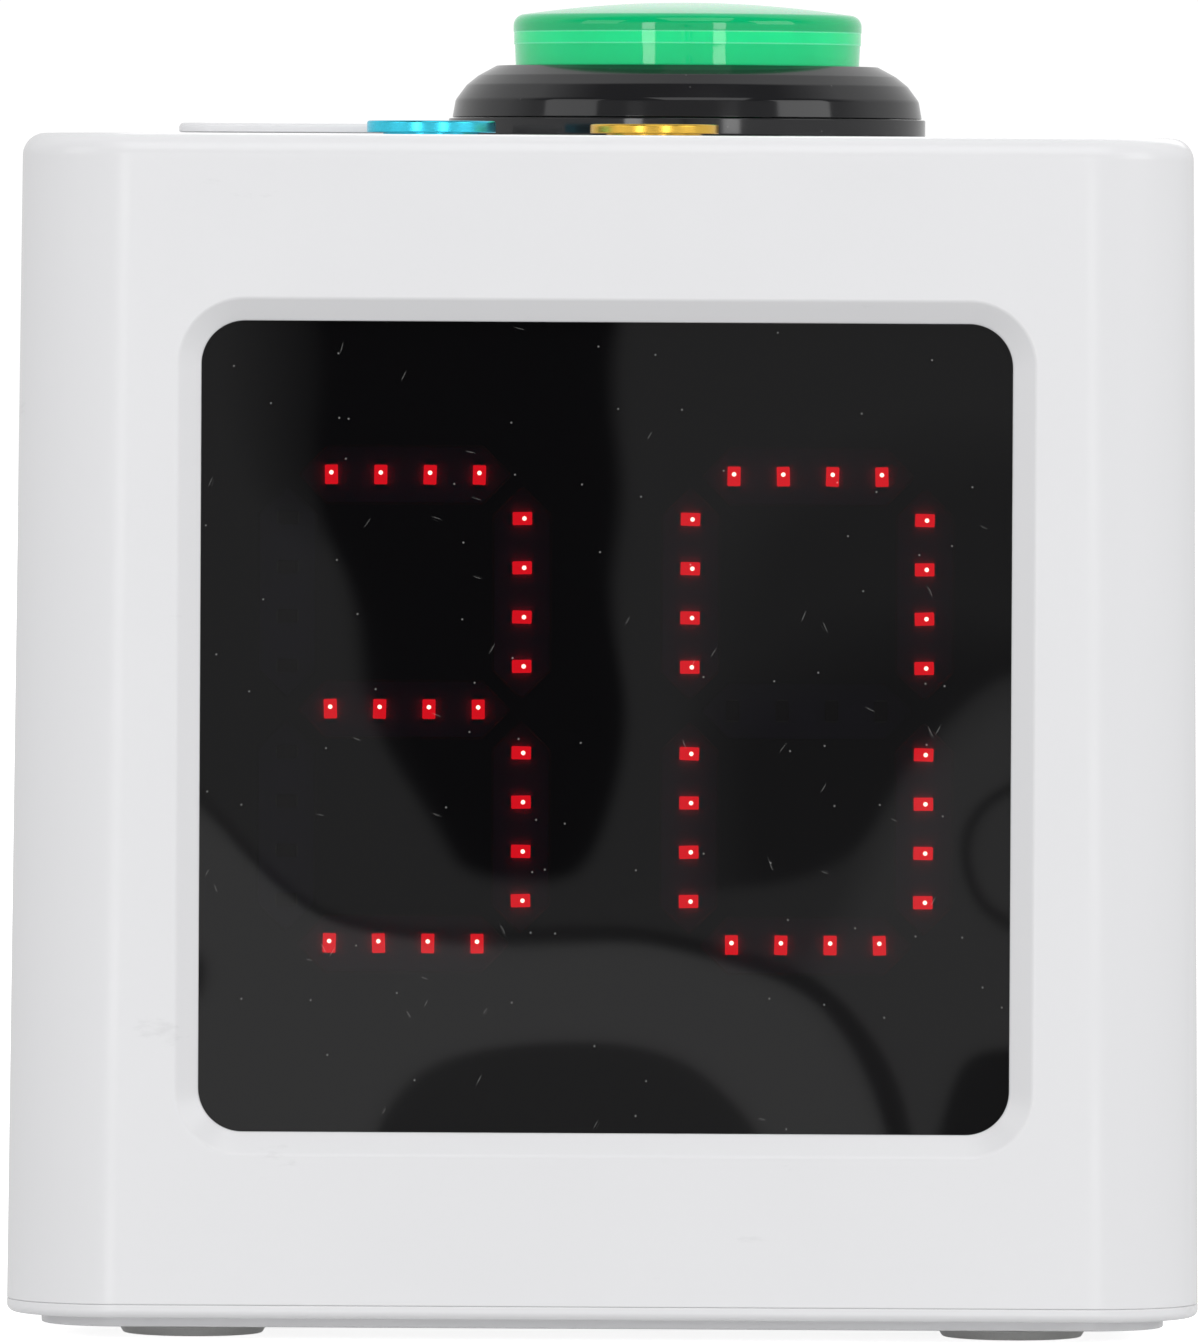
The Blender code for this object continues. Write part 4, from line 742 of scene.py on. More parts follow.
class TIMER_OT_shell(bpy.types.Operator):
    """Make the moulded housing with its window, button holes, bosses and rear openings"""
    bl_idname = "timer.shell"
    bl_label = "Housing Shell"

    def execute(self, context):
        shell = context.scene.timer_shell
        window = context.scene.timer_window
        low, high, edge = SHELL_LOW.z, TOP, shell.top_edge
        outside = [level(body_outline(low, 0.1 * MM), low), level(body_outline(low), low + 0.1 * MM)]
        for down, inset in quarter(12):
            z = high - edge * down
            outside.append(level(body_outline(z, edge * inset), z))
        blank = bmesh.new()
        add_loft(blank, outside)
        piece = as_object("housing_shell", blank)
        hollow = bmesh.new()
        inner = high - shell.wall
        chamfer = max(edge - shell.wall, SAFE)
        rings = [level(body_outline(z, shell.wall), z) for z in (low - 2 * MM, low, inner - chamfer)]
        add_loft(hollow, rings + [level(body_outline(inner, shell.wall + chamfer), inner)])
        carve(piece, as_object("hollow", hollow))
        front, rear = wall_place(-1), wall_place(1)
        posts = bmesh.new()
        post_at = window.size / 2 + POST_OUT
        for x, y in four(post_at, post_at):
            add_prism(posts, moved(circle(2.5 * MM, 24), x, y), -9.7 * MM, -shell.wall + 0.5 * MM, front)
        boss_x, boss_y = SHELL_HIGH.x - shell.boss_from_side, shell.boss_from_middle
        bottom = COVER_HIGH.z + 0.3 * MM
        for x, y in four(boss_x, boss_y):
            add_prism(posts, moved(circle(4 * MM, 24), x, y), bottom, bottom + 23 * MM)
        slider, socket = middle("power_switch"), middle("charging_socket")
        back = rear.inverted()
        slider_at, socket_at = back @ slider, back @ socket
        for side in (-1, 1):
            add_prism(posts, moved(rectangle(14 * MM, 2 * MM), slider_at.x, slider_at.y + side * 4.8 * MM),
                      -8.3 * MM, -shell.wall + 0.5 * MM, rear)
        add_prism(posts, moved(rectangle(18 * MM, 2 * MM), socket_at.x, socket_at.y - 4.2 * MM),
                  -shell.wall - 14 * MM, -shell.wall + 0.5 * MM, rear)
        carve(piece, as_object("posts", posts), "UNION")
        ribs = bmesh.new()
        for x, y in four(boss_x, boss_y):
            side = math.copysign(1, x)
            add_prism(ribs, moved(rectangle(7 * MM, 2 * MM), x + side * 3.5 * MM, y), bottom,
                      bottom + 21 * MM)
        carve(piece, as_object("ribs", ribs), "UNION")
        holes = bmesh.new()
        for x, y in four(boss_x, boss_y):
            add_prism(holes, moved(circle(1.8 * MM, 20), x, y), bottom - 2 * MM, 18.8 * MM)
        for x, y in four(post_at, post_at):
            add_prism(holes, moved(circle(1.4 * MM, 16), x, y), -11.7 * MM, -3.7 * MM, front)
        for place, radius, steps in ((DOME_PLACE, 12.3 * MM, 64), (SMALL_PLACES["blue"], 6.3 * MM, 48),
                                     (SMALL_PLACES["gold"], 6.3 * MM, 48)):
            add_prism(holes, moved(circle(radius, steps), place.x, place.y), high - 5 * MM, high + 2 * MM)
        slot = rounded_rectangle(9.1 * MM, 4.2 * MM, 0.4 * MM, 4)
        add_prism(holes, moved(slot, slider_at.x, slider_at.y), -5 * MM, 2 * MM, rear)
        mouth = rounded_rectangle(9.6 * MM, 3.8 * MM, 1.89 * MM, 10)
        add_prism(holes, moved(mouth, socket_at.x, socket_at.y), -5 * MM, 2 * MM, rear)
        carve(piece, as_object("holes", holes))
        carve(piece, sound_holes(rear))
        carve(piece, window_cutter(front))
        finished(piece, once(moulded_white_abs), "housing", "shell", slot="white_abs")
        return {"FINISHED"}


class TIMER_OT_base(bpy.types.Operator):
    """Make the base cover, the inset plate, the feet and the base screws"""
    bl_idname = "timer.base"
    bl_label = "Base"

    def execute(self, context):
        shell = context.scene.timer_shell
        white = once(moulded_white_abs)
        boss_x, boss_y = SHELL_HIGH.x - shell.boss_from_side, shell.boss_from_middle
        band, edge = SHELL_LOW.z - COVER_LOW.z - 0.03 * MM, 1.0 * MM
        rings = [level(body_outline(SHELL_LOW.z, edge * inset), COVER_LOW.z - 0.18 * MM + edge * up)
                 for inset, up in quarter(8)]
        rings.append(level(body_outline(SHELL_LOW.z), COVER_LOW.z + band - 0.1 * MM))
        rings.append(level(body_outline(SHELL_LOW.z, 0.1 * MM), COVER_LOW.z + band))
        spigot = shell.wall + 0.3 * MM
        lean = (COVER_HIGH.z - SHELL_LOW.z) * math.tan(shell.lean)
        rings.append(level(body_outline(SHELL_LOW.z, spigot + lean), COVER_LOW.z + band))
        rings.append(level(body_outline(SHELL_LOW.z, spigot + lean), COVER_HIGH.z))
        blank = bmesh.new()
        add_loft(blank, rings)
        cover = as_object("base_cover_moulding", blank)
        tools = bmesh.new()
        pocket = rounded_rectangle(2 * (boss_x - 6 * MM), 2 * SHELL_HIGH.y - 2 * (spigot + 2 * MM),
                                   shell.corner / 2, 10)
        add_prism(tools, pocket, COVER_LOW.z + 2 * MM, COVER_HIGH.z + 2 * MM)
        for x, y in four(boss_x, boss_y):
            add_prism(tools, moved(circle(1.8 * MM, 20), x, y), COVER_LOW.z - 2 * MM, COVER_HIGH.z + 2 * MM)
        carve(cover, as_object("pocket", tools))
        finished(cover, white, "housing", "base_cover", slot="white_abs")

        inset, thick = SHELL_HIGH.x - PLATE_HIGH.x, PLATE_HIGH.z - PLATE_LOW.z
        blank = bmesh.new()
        add_loft(blank, [level(body_outline(SHELL_LOW.z, inset + 0.25 * MM), PLATE_LOW.z),
                         level(body_outline(SHELL_LOW.z, inset + 0.07 * MM), PLATE_LOW.z + 0.07 * MM),
                         level(body_outline(SHELL_LOW.z, inset), PLATE_LOW.z + 0.25 * MM),
                         level(body_outline(SHELL_LOW.z, inset), PLATE_HIGH.z)])
        plate = as_object("base_plate_moulding", blank)
        sinks = bmesh.new()
        for x, y in four(boss_x, boss_y):
            add_turned(sinks, [(0, -2 * MM), (4.7 * MM, -2 * MM + 0.001 * MM), (3.1 * MM, 0),
                               (2.1 * MM, thick), (2.1 * MM, thick + 1 * MM), (0, thick + 1 * MM)], 28,
                       Matrix.Translation((x, y, PLATE_LOW.z)))
        carve(plate, as_object("sinks", sinks))
        finished(plate, white, "housing", "base_plate", slot="white_abs")

        low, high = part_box(FEET[0])
        radius, tall = (high.x - low.x) / 2, high.z - low.z
        profile = rounded([(0, 0, 0), (radius - 0.7 * MM, 0, 0.35 * MM), (radius, tall, 0.12 * MM),
                           (0, tall, 0)])
        foot = bmesh.new()
        add_turned(foot, profile, 48)
        places = [(middle(name).x, middle(name).y, 0, 0) for name in FEET]
        feet = copies("feet", as_object("foot", foot), places, once(moulded_pale_rubber))
        finished(feet, None, "housing", *FEET, slot="foot_rubber")

        low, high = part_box(BASE_SCREWS[0])
        tall = high.z - low.z
        profile = rounded([(0, 0, 0), (2.8 * MM, 0, 0.12 * MM), (1.8 * MM, 1.2 * MM, 0.1 * MM),
                           (1.5 * MM, 1.5 * MM, 0)] + [(r * MM, z * MM, 0) for k in range(8) for r, z in
                                                       ((1.5, 3 + k * 1.4), (1.15, 3.7 + k * 1.4))]
                          + [(1.5 * MM, 14.2 * MM, 0), (0, tall, 0)], 3)
        screw = bmesh.new()
        add_turned(screw, profile, 32)
        screw = as_object("screw", screw)
        cross = bmesh.new()
        add_prism(cross, rectangle(3.0 * MM, 0.6 * MM), -0.5 * MM, 0.7 * MM)
        add_prism(cross, rectangle(0.6 * MM, 3.0 * MM), -0.4 * MM, 0.75 * MM)
        cross = as_object("cross", cross)
        carve(screw, cross)
        places = [(middle(name).x, middle(name).y, low.z, 0.35 + 0.5 * i)
                  for i, name in enumerate(BASE_SCREWS)]
        screws = copies("base_screws", screw, places, once(zinc_plated_steel))
        finished(screws, None, "housing", *BASE_SCREWS, slot="steel")
        return {"FINISHED"}


# ---------------------------------------------------------------- window and display

class TIMER_OT_window(bpy.types.Operator):
    """Make the smoked pane, its face waved as slightly as cast sheet is"""
    bl_idname = "timer.window"
    bl_label = "Window Pane"

    def execute(self, context):
        window, shell = context.scene.timer_window, context.scene.timer_shell
        size = window.size + 2 * window.lap
        face = -shell.wall - 0.3 * MM
        cells = 110
        mesh_data = bmesh.new()
        corner = window.corner

        def point(i, j):
            """A grid point pulled in to the rounded corners."""
            x, y = (i / cells - 0.5) * size, (j / cells - 0.5) * size
            over = Vector((abs(x) - (size / 2 - corner), abs(y) - (size / 2 - corner)))
            if over.x > 0 and over.y > 0:
                over *= max(over.x, over.y) / over.length
                x = math.copysign(size / 2 - corner + over.x, x)
                y = math.copysign(size / 2 - corner + over.y, y)
            return x, y

        def wave(x, y):
            """Slow waves, about 30 to 70 mm long."""
            u, v = x / MM, y / MM
            return (math.sin(u / 9.5 + 1.3 * math.sin(v / 17.0)) * math.cos(v / 12.5 + 0.6)
                    + 0.6 * math.sin((u + v) / 7.2 + 0.8) * math.sin(v / 10.4 - u / 31.0)) * 0.5

        grid = [[mesh_data.verts.new((*point(i, j), face + (wave(*point(i, j)) - 1.0) * window.ripple))
                 for j in range(cells + 1)] for i in range(cells + 1)]
        for i in range(cells):
            for j in range(cells):
                mesh_data.faces.new((grid[i][j], grid[i + 1][j], grid[i + 1][j + 1], grid[i][j + 1]))
        rim = ([grid[i][0] for i in range(cells)] + [grid[cells][j] for j in range(cells)]
               + [grid[i][cells] for i in range(cells, 0, -1)] + [grid[0][j] for j in range(cells, 0, -1)])
        back = [mesh_data.verts.new((v.co.x, v.co.y, face - window.pane)) for v in rim]
        for i in range(len(rim)):
            j = (i + 1) % len(rim)
            mesh_data.faces.new((rim[i], back[i], back[j], rim[j]))
        mesh_data.faces.new(list(reversed(back)))
        pane = as_object("window_pane_sheet", mesh_data)
        pane.data.transform(wall_place(-1))
        finished(pane, once(polished_smoked_acrylic), "housing", "window_pane", slot="smoked_acrylic")
        return {"FINISHED"}


# Strokes of each numeral: top, middle, bottom, upper right, upper left, lower right, lower left
NUMERALS = {0: (1, 0, 1, 1, 1, 1, 1), 1: (0, 0, 0, 1, 0, 1, 0), 2: (1, 1, 1, 1, 0, 0, 1),
            3: (1, 1, 1, 1, 0, 1, 0), 4: (0, 1, 0, 1, 1, 1, 0), 5: (1, 1, 1, 0, 1, 1, 0),
            6: (1, 1, 1, 0, 1, 1, 1), 7: (1, 0, 0, 1, 0, 1, 0), 8: (1, 1, 1, 1, 1, 1, 1),
            9: (1, 1, 1, 1, 1, 1, 0)}


def strokes():
    """(x, y, flat, lit) of each stroke of both digits, in the window's plane."""
    display = bpy.context.scene.timer_display
    span, half = display.span, display.span / 2
    layout = [(0, span, True), (0, 0, True), (0, -span, True),
              (half, half, False), (-half, half, False), (half, -half, False), (-half, -half, False)]
    found = []
    for side, numeral in ((-1, display.number // 10), (1, display.number % 10)):
        for (x, y, flat), lit in zip(layout, NUMERALS[numeral]):
            found.append((side * display.pitch / 2 + x, display.rise + y, flat, bool(lit)))
    return found


def stroke_outline(x, y, flat, grow=0.0):
    """A stroke with pointed ends, its points slightly rounded."""
    display = bpy.context.scene.timer_display
    long, half = display.stroke / 2 + grow, display.stroke_width / 2 + grow
    points = [(long, 0), (long - half, half), (half - long, half), (-long, 0),
              (half - long, -half), (long - half, -half)]
    points = rounded([(a, b, 0.5 * MM) for a, b in points], 3)
    return moved(points if flat else [(-b, a) for a, b in points], x, y)


class TIMER_OT_display(bpy.types.Operator):
    """Make the segment mask, the lamp board and the lamps of both digits"""
    bl_idname = "timer.display"
    bl_label = "Display"

    def execute(self, context):
        display, window = context.scene.timer_display, context.scene.timer_window
        front = wall_place(-1)
        post_at = window.size / 2 + POST_OUT
        size = 2 * (post_at + 4.5 * MM)
        face, back = -5.1 * MM, -8.1 * MM
        blank = bmesh.new()
        add_prism(blank, rounded_rectangle(size, size, 3 * MM, 6), back, face, front)
        mask = as_object("segment_mask_plate", blank)
        tools = bmesh.new()
        for x, y, flat, _ in strokes():
            add_loft(tools, [level(stroke_outline(x, y, flat), back - 1 * MM),
                             level(stroke_outline(x, y, flat), face - 0.3 * MM),
                             level(stroke_outline(x, y, flat, 0.5 * MM), face + 0.2 * MM)], front)
        for x, y in four(post_at, post_at):
            add_prism(tools, moved(circle(2.8 * MM, 24), x, y), back - 1 * MM, face + 1 * MM, front)
        carve(mask, as_object("wells", tools))
        finished(mask, once(moulded_black_mask), "housing", "segment_mask", slot="mask_black")

        blank = bmesh.new()
        top = back - 0.3 * MM
        add_prism(blank, rounded_rectangle(size, size, 3 * MM, 6), top - 1.6 * MM, top, front)
        board = as_object("lamp_board", blank)
        tools = bmesh.new()
        for x, y in four(post_at, post_at):
            add_prism(tools, moved(circle(2.8 * MM, 24), x, y), top - 3 * MM, top + 1 * MM, front)
        carve(board, as_object("board holes", tools))
        finished(board, once(black_solder_mask), "housing", "led_board", slot="led_board")

        places = {True: [], False: []}
        for x, y, flat, lit in strokes():
            for i in range(4):
                along = (i - 1.5) * display.lamp_pitch
                spot = (x + along, y, top, math.pi / 2) if flat else (x, y + along, top, 0.0)
                places[lit].append(spot)
        self.lamps(display, places, front)
        return {"FINISHED"}

    @staticmethod
    def lamps(display, places, front):
        """Lamp bodies, the bright chips in the lit ones, and the soldered ends of them all."""
        long, short, tall = display.lamp_long, display.lamp_short, display.lamp_height

        def spread(name, mesh_data, spots, material, wobble):
            piece = copies(name, as_object("pattern", mesh_data), spots, material, wobble, 7)
            piece.data.transform(front)
            return finished(piece, None, "housing", slot="led_board")

        for lit, name, material in ((True, "lit_lamps", lit_lamp_epoxy),
                                    (False, "dark_lamps", dark_lamp_epoxy)):
            body = bmesh.new()
            add_loft(body, [level(rounded_rectangle(long - 0.3 * MM, short, 0.12 * MM, 2), 0.02 * MM),
                            level(rounded_rectangle(long - 0.3 * MM, short, 0.12 * MM, 2), tall * 0.85),
                            level(rounded_rectangle(long - 0.5 * MM, short - 0.2 * MM, 0.1 * MM, 2), tall)])
            spread(name, body, places[lit], once(material), math.radians(2.0))
        ends = bmesh.new()
        for side in (-1, 1):
            add_prism(ends, moved(rectangle(0.2 * MM, short * 0.8), side * (long / 2 - 0.08 * MM), 0),
                      0.01 * MM, tall * 0.55)
        spread("lamp_ends", ends, places[True] + places[False], once(tinned_copper), math.radians(2.0))
        chip = bmesh.new()
        add_turned(chip, [(0, tall - 0.1 * MM), (0.27 * MM, tall - 0.1 * MM), (0.27 * MM, tall + 0.02 * MM),
                          (0.15 * MM, tall + 0.05 * MM), (0, tall + 0.06 * MM)], 16,
                   Matrix.Translation((0.25 * MM, 0, 0)))
        spread("lamp_chips", chip, places[True], once(lit_lamp_die), math.radians(2.0))


# ---------------------------------------------------------------- buttons

class TIMER_OT_dome_button(bpy.types.Operator):
    """Make the large button: flanged barrel, bezel ring and green lens"""
    bl_idname = "timer.dome_button"
    bl_label = "Dome Button"

    def execute(self, context):
        dome = context.scene.timer_dome
        place = Matrix.Translation(DOME_PLACE)
        black = once(moulded_black_abs)
        steps = 128

        def ring(name, corners, material, body, nodes, slot, arc_steps=5):
            mesh_data = bmesh.new()
            add_turned(mesh_data, rounded([(r * MM, z * MM, e * MM) for r, z, e in corners], arc_steps),
                       steps, place)
            return finished(as_object(name, mesh_data), material, body, *nodes, slot=slot, sharp=40)

        self.barrel(place, steps, black)
        ring("dome_bezel_ring",
             [(29.8, 2.5, 0.12), (29.4, 4.75, 1.1), (28.0, 6.65, 1.2), (26.5, 7.85, 1.2), (24.2, 9.1, 0.35),
              (22.4, 9.1, 0.2), (22.4, 7.8, 0.1), (24.8, 7.8, 0), (24.8, 2.5, 0.1)],
             black, "housing", ["dome_bezel"], "black_abs", 7)
        self.lens(context, place, steps)
        return {"FINISHED"}

    @staticmethod
    def barrel(place, steps, black):
        """The barrel keeps the frame's own profile, with its edges rounded."""
        low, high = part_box("dome_barrel")
        bottom = low.z - TOP
        mesh_data = bmesh.new()
        well = 1.8
        profile = [(30.25, 0.3, 0.15), (30.25, 2.4, 0.15), (25.9, 2.4, 0.1), (25.9, well, 0.05),
                   (10.2, well, 0.2), (10.2, -12.0, 0), (8.0, -12.0, 0), (8.0, bottom / MM, 0.2),
                   (12.0, bottom / MM, 0.4), (12.0, 0.3, 0.2)]
        add_turned(mesh_data, rounded([(r * MM, z * MM, e * MM) for r, z, e in profile]), steps, place)
        finished(as_object("dome_barrel_moulding", mesh_data), black, "housing", "dome_barrel",
                 slot="black_abs", sharp=40)

    @staticmethod
    def lens(context, place, steps):
        """The lens: hidden flange, flared side with two fine steps, round shoulder, shallow crown."""
        dome = context.scene.timer_dome
        radius, top, wall = dome.lens, LENS_TOP, dome.lens_wall
        bore = radius - wall
        outline = rounded([(bore, 6.0 * MM, 0), (24.2 * MM, 6.0 * MM, 0.2 * MM),
                           (24.2 * MM, 7.5 * MM, 0.2 * MM),
                           (radius - 0.3 * MM, 7.5 * MM, 0), (radius - 0.3 * MM, 9.1 * MM, 0.05 * MM),
                           (radius - 0.18 * MM, 11.75 * MM, 0), (radius - 0.08 * MM, 11.85 * MM, 0),
                           (radius - 0.08 * MM, 13.35 * MM, 0), (radius, 13.45 * MM, 0)], 4)

        def crown(edge_radius, high, shoulder, steps):
            """The round shoulder and the shallow crown, from the side to the middle."""
            edge, base = edge_radius - shoulder, high - dome.crown - shoulder
            turns = [math.radians(90 * i / steps) for i in range(steps + 1)]
            parts = [1 - i / steps for i in range(1, steps + 1)]
            return ([(edge + shoulder * math.cos(a), base + shoulder * math.sin(a)) for a in turns]
                    + [(edge * part, high - dome.crown * part ** 2) for part in parts])

        inner = list(reversed(crown(bore, top - wall, dome.shoulder / 3, 8)))
        mesh_data = bmesh.new()
        add_turned(mesh_data, outline + crown(radius, top, dome.shoulder, 14) + inner, steps, place)
        finished(as_object("dome_lens_moulding", mesh_data), once(moulded_green_lens), "dome_button",
                 "dome_lens", slot="green_lens", sharp=50)


class TIMER_OT_small_buttons(bpy.types.Operator):
    """Make the two turned metal buttons, each a fixed ring and a moving cap"""
    bl_idname = "timer.small_buttons"
    bl_label = "Small Buttons"

    def execute(self, context):
        small = context.scene.timer_small
        for shade, centre in SMALL_PLACES.items():
            place = Matrix.Translation(centre)
            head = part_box(shade + "_button_body")[1].z - TOP
            material = anodised_aluminium(shade)
            well = small.cap + 0.3 * MM
            thread = [(small.thread if k % 2 == 0 else small.thread - 0.3 * MM, (-16 + k * 0.5) * MM, 0)
                      for k in range(26)]
            profile = rounded([(small.head, 0.3 * MM, 0.1 * MM), (small.head, head, 0.28 * MM),
                               (well, head, 0.12 * MM), (well, -6 * MM, 0), (2.5 * MM, -6 * MM, 0),
                               (2.5 * MM, -16 * MM, 0)] + thread + [(small.thread, -2.5 * MM, 0),
                                                                    (small.thread, 0.3 * MM, 0)], 4)
            mesh_data = bmesh.new()
            add_turned(mesh_data, profile, 72, place)
            finished(as_object(shade + "_button_ring", mesh_data), material, "housing",
                     shade + "_button_body", slot=shade + "_anodised")
            crown = head - 0.1 * MM
            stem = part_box(shade + "_button_cap")[0].z - TOP
            profile = rounded([(0, stem, 0), (2.2 * MM, stem, 0.2 * MM), (2.2 * MM, -3 * MM, 0),
                               (small.cap, -3 * MM, 0.1 * MM), (small.cap, crown - 0.05 * MM, 0.25 * MM),
                               (2.5 * MM, crown - 0.12 * MM, 0.5 * MM), (0, crown - 0.18 * MM, 0)], 4)
            mesh_data = bmesh.new()
            add_turned(mesh_data, profile, 64, place)
            finished(as_object(shade + "_button_press", mesh_data), material, shade + "_button",
                     shade + "_button_cap", slot=shade + "_anodised")
        return {"FINISHED"}


class TIMER_OT_label_pad(bpy.types.Operator):
    """Make the blank raised pad on the top panel"""
    bl_idname = "timer.label_pad"
    bl_label = "Blank Pad"

    def execute(self, context):
        size = PAD_HIGH - PAD_LOW
        edge = 0.6 * MM
        rings = [level(rounded_rectangle(size.x - 0.2 * MM, size.y - 0.2 * MM, 3.9 * MM, 12), PAD_LOW.z),
                 level(rounded_rectangle(size.x, size.y, 4 * MM, 12), PAD_LOW.z + 0.1 * MM)]
        for down, part in quarter(6):
            inset = edge * part
            rings.append(level(rounded_rectangle(size.x - 2 * inset, size.y - 2 * inset, 4 * MM - inset, 12),
                               PAD_HIGH.z - edge * down))
        mesh_data = bmesh.new()
        place = middle("label_pad")
        add_loft(mesh_data, rings, Matrix.Translation((place.x, place.y, 0)))
        finished(as_object("label_pad_moulding", mesh_data), once(moulded_white_abs), "housing", "label_pad",
                 slot="white_abs")
        return {"FINISHED"}


# ---------------------------------------------------------------- rear wall

class TIMER_OT_rear_fittings(bpy.types.Operator):
    """Make the ribbed power slider and the charging socket in the rear wall"""
    bl_idname = "timer.rear_fittings"
    bl_label = "Rear Fittings"

    def execute(self, context):
        rear = wall_place(1)
        back = rear.inverted()
        at = back @ middle("power_slider")
        blank = bmesh.new()
        add_loft(blank, [level(rectangle(4.0 * MM, 3.6 * MM), -6.0 * MM),
                         level(rectangle(4.0 * MM, 3.6 * MM), 0.35 * MM),
                         level(rectangle(3.7 * MM, 3.3 * MM), 0.6 * MM)],
                 rear @ Matrix.Translation((at.x, at.y, 0)))
        slider = as_object("power_slider_knob", blank)
        groove = bmesh.new()
        add_prism(groove, [(-0.22 * MM, 0.7 * MM), (0.22 * MM, 0.7 * MM), (0, 0.2 * MM)], -3 * MM, 3 * MM)
        places = [(k * 0.85 * MM, 0, 0, 0) for k in (-1.5, -0.5, 0.5, 1.5)]
        grooves = copies("grooves", as_object("groove", groove), places, None)
        upright = Matrix.Rotation(math.pi / 2, 4, "X")
        grooves.data.transform(rear @ Matrix.Translation((at.x, at.y, 0)) @ upright)
        carve(slider, grooves)
        finished(slider, once(moulded_dark_plastic), "power_slide", "power_slider", slot="dark_plastic")

        at = back @ middle("charging_socket")
        blank = bmesh.new()
        place = rear @ Matrix.Translation((at.x, at.y, 0))

        def stadium(shrink):
            return rounded_rectangle(9 * MM - 2 * shrink, 3.2 * MM - 2 * shrink, 1.59 * MM - shrink, 12)
        add_loft(blank, [level(stadium(0), -7.7 * MM), level(stadium(0), -0.38 * MM),
                         level(stadium(0.08 * MM), -0.3 * MM)], place)
        socket = as_object("charging_socket_shell", blank)
        mouth = bmesh.new()
        add_loft(mouth, [level(stadium(0.3 * MM), -6.5 * MM), level(stadium(0.3 * MM), -0.5 * MM),
                         level(stadium(0.16 * MM), -0.2 * MM)], place)
        carve(socket, as_object("mouth", mouth))
        tongue = bmesh.new()
        add_loft(tongue, [level(rectangle(6.7 * MM, 0.7 * MM), -7.2 * MM),
                          level(rectangle(6.7 * MM, 0.7 * MM), -1.2 * MM),
                          level(rectangle(6.4 * MM, 0.5 * MM), -1.1 * MM)], place)
        carve(socket, as_object("tongue", tongue), "UNION")
        finished(socket, once(zinc_plated_steel), "housing", "charging_socket", slot="steel")
        return {"FINISHED"}


# ---------------------------------------------------------------- inside

INSIDE = {
    moulded_dark_plastic: ("microswitch", "lamp_holder", "dome_nut", "link_header", "buzzer", "power_switch",
                           "battery_tray", "blue_button_terminals", "gold_button_terminals"),
    milky_polystyrene: ("dome_plunger", "dome_lamp"),
    green_solder_mask: ("controller_board", "charge_board"),
    shrunk_blue_sleeve: ("battery_pack",),
    turned_brass: ("standoff_",),
    zinc_plated_steel: ("display_screw_", "board_screw_", "dome_spring", "blue_button_spring",
                        "gold_button_spring", "blue_button_nut", "gold_button_nut"),
}


class TIMER_OT_inside(bpy.types.Operator):
    """Give the pieces that keep their frame shape their real finishes"""
    bl_idname = "timer.inside"
    bl_label = "Inside Pieces"

    def execute(self, context):
        for name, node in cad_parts.items():
            if node.hide_render:
                continue
            makers = [maker for maker, words in INSIDE.items() if name.startswith(words)]
            if not makers:
                raise RuntimeError("no finish is listed for " + name)
            for slot in node.material_slots:
                slot.material = once(makers[0])
        return {"FINISHED"}


# ---------------------------------------------------------------- studio

def stage_card(name, outline, place, material):
    """A flat stage card of one outline."""
    mesh_data = bmesh.new()
    mesh_data.faces.new([mesh_data.verts.new(place @ Vector((x, y, 0))) for x, y in outline])
    card = as_object(name, mesh_data)
    card.data.materials.append(material)
    return card


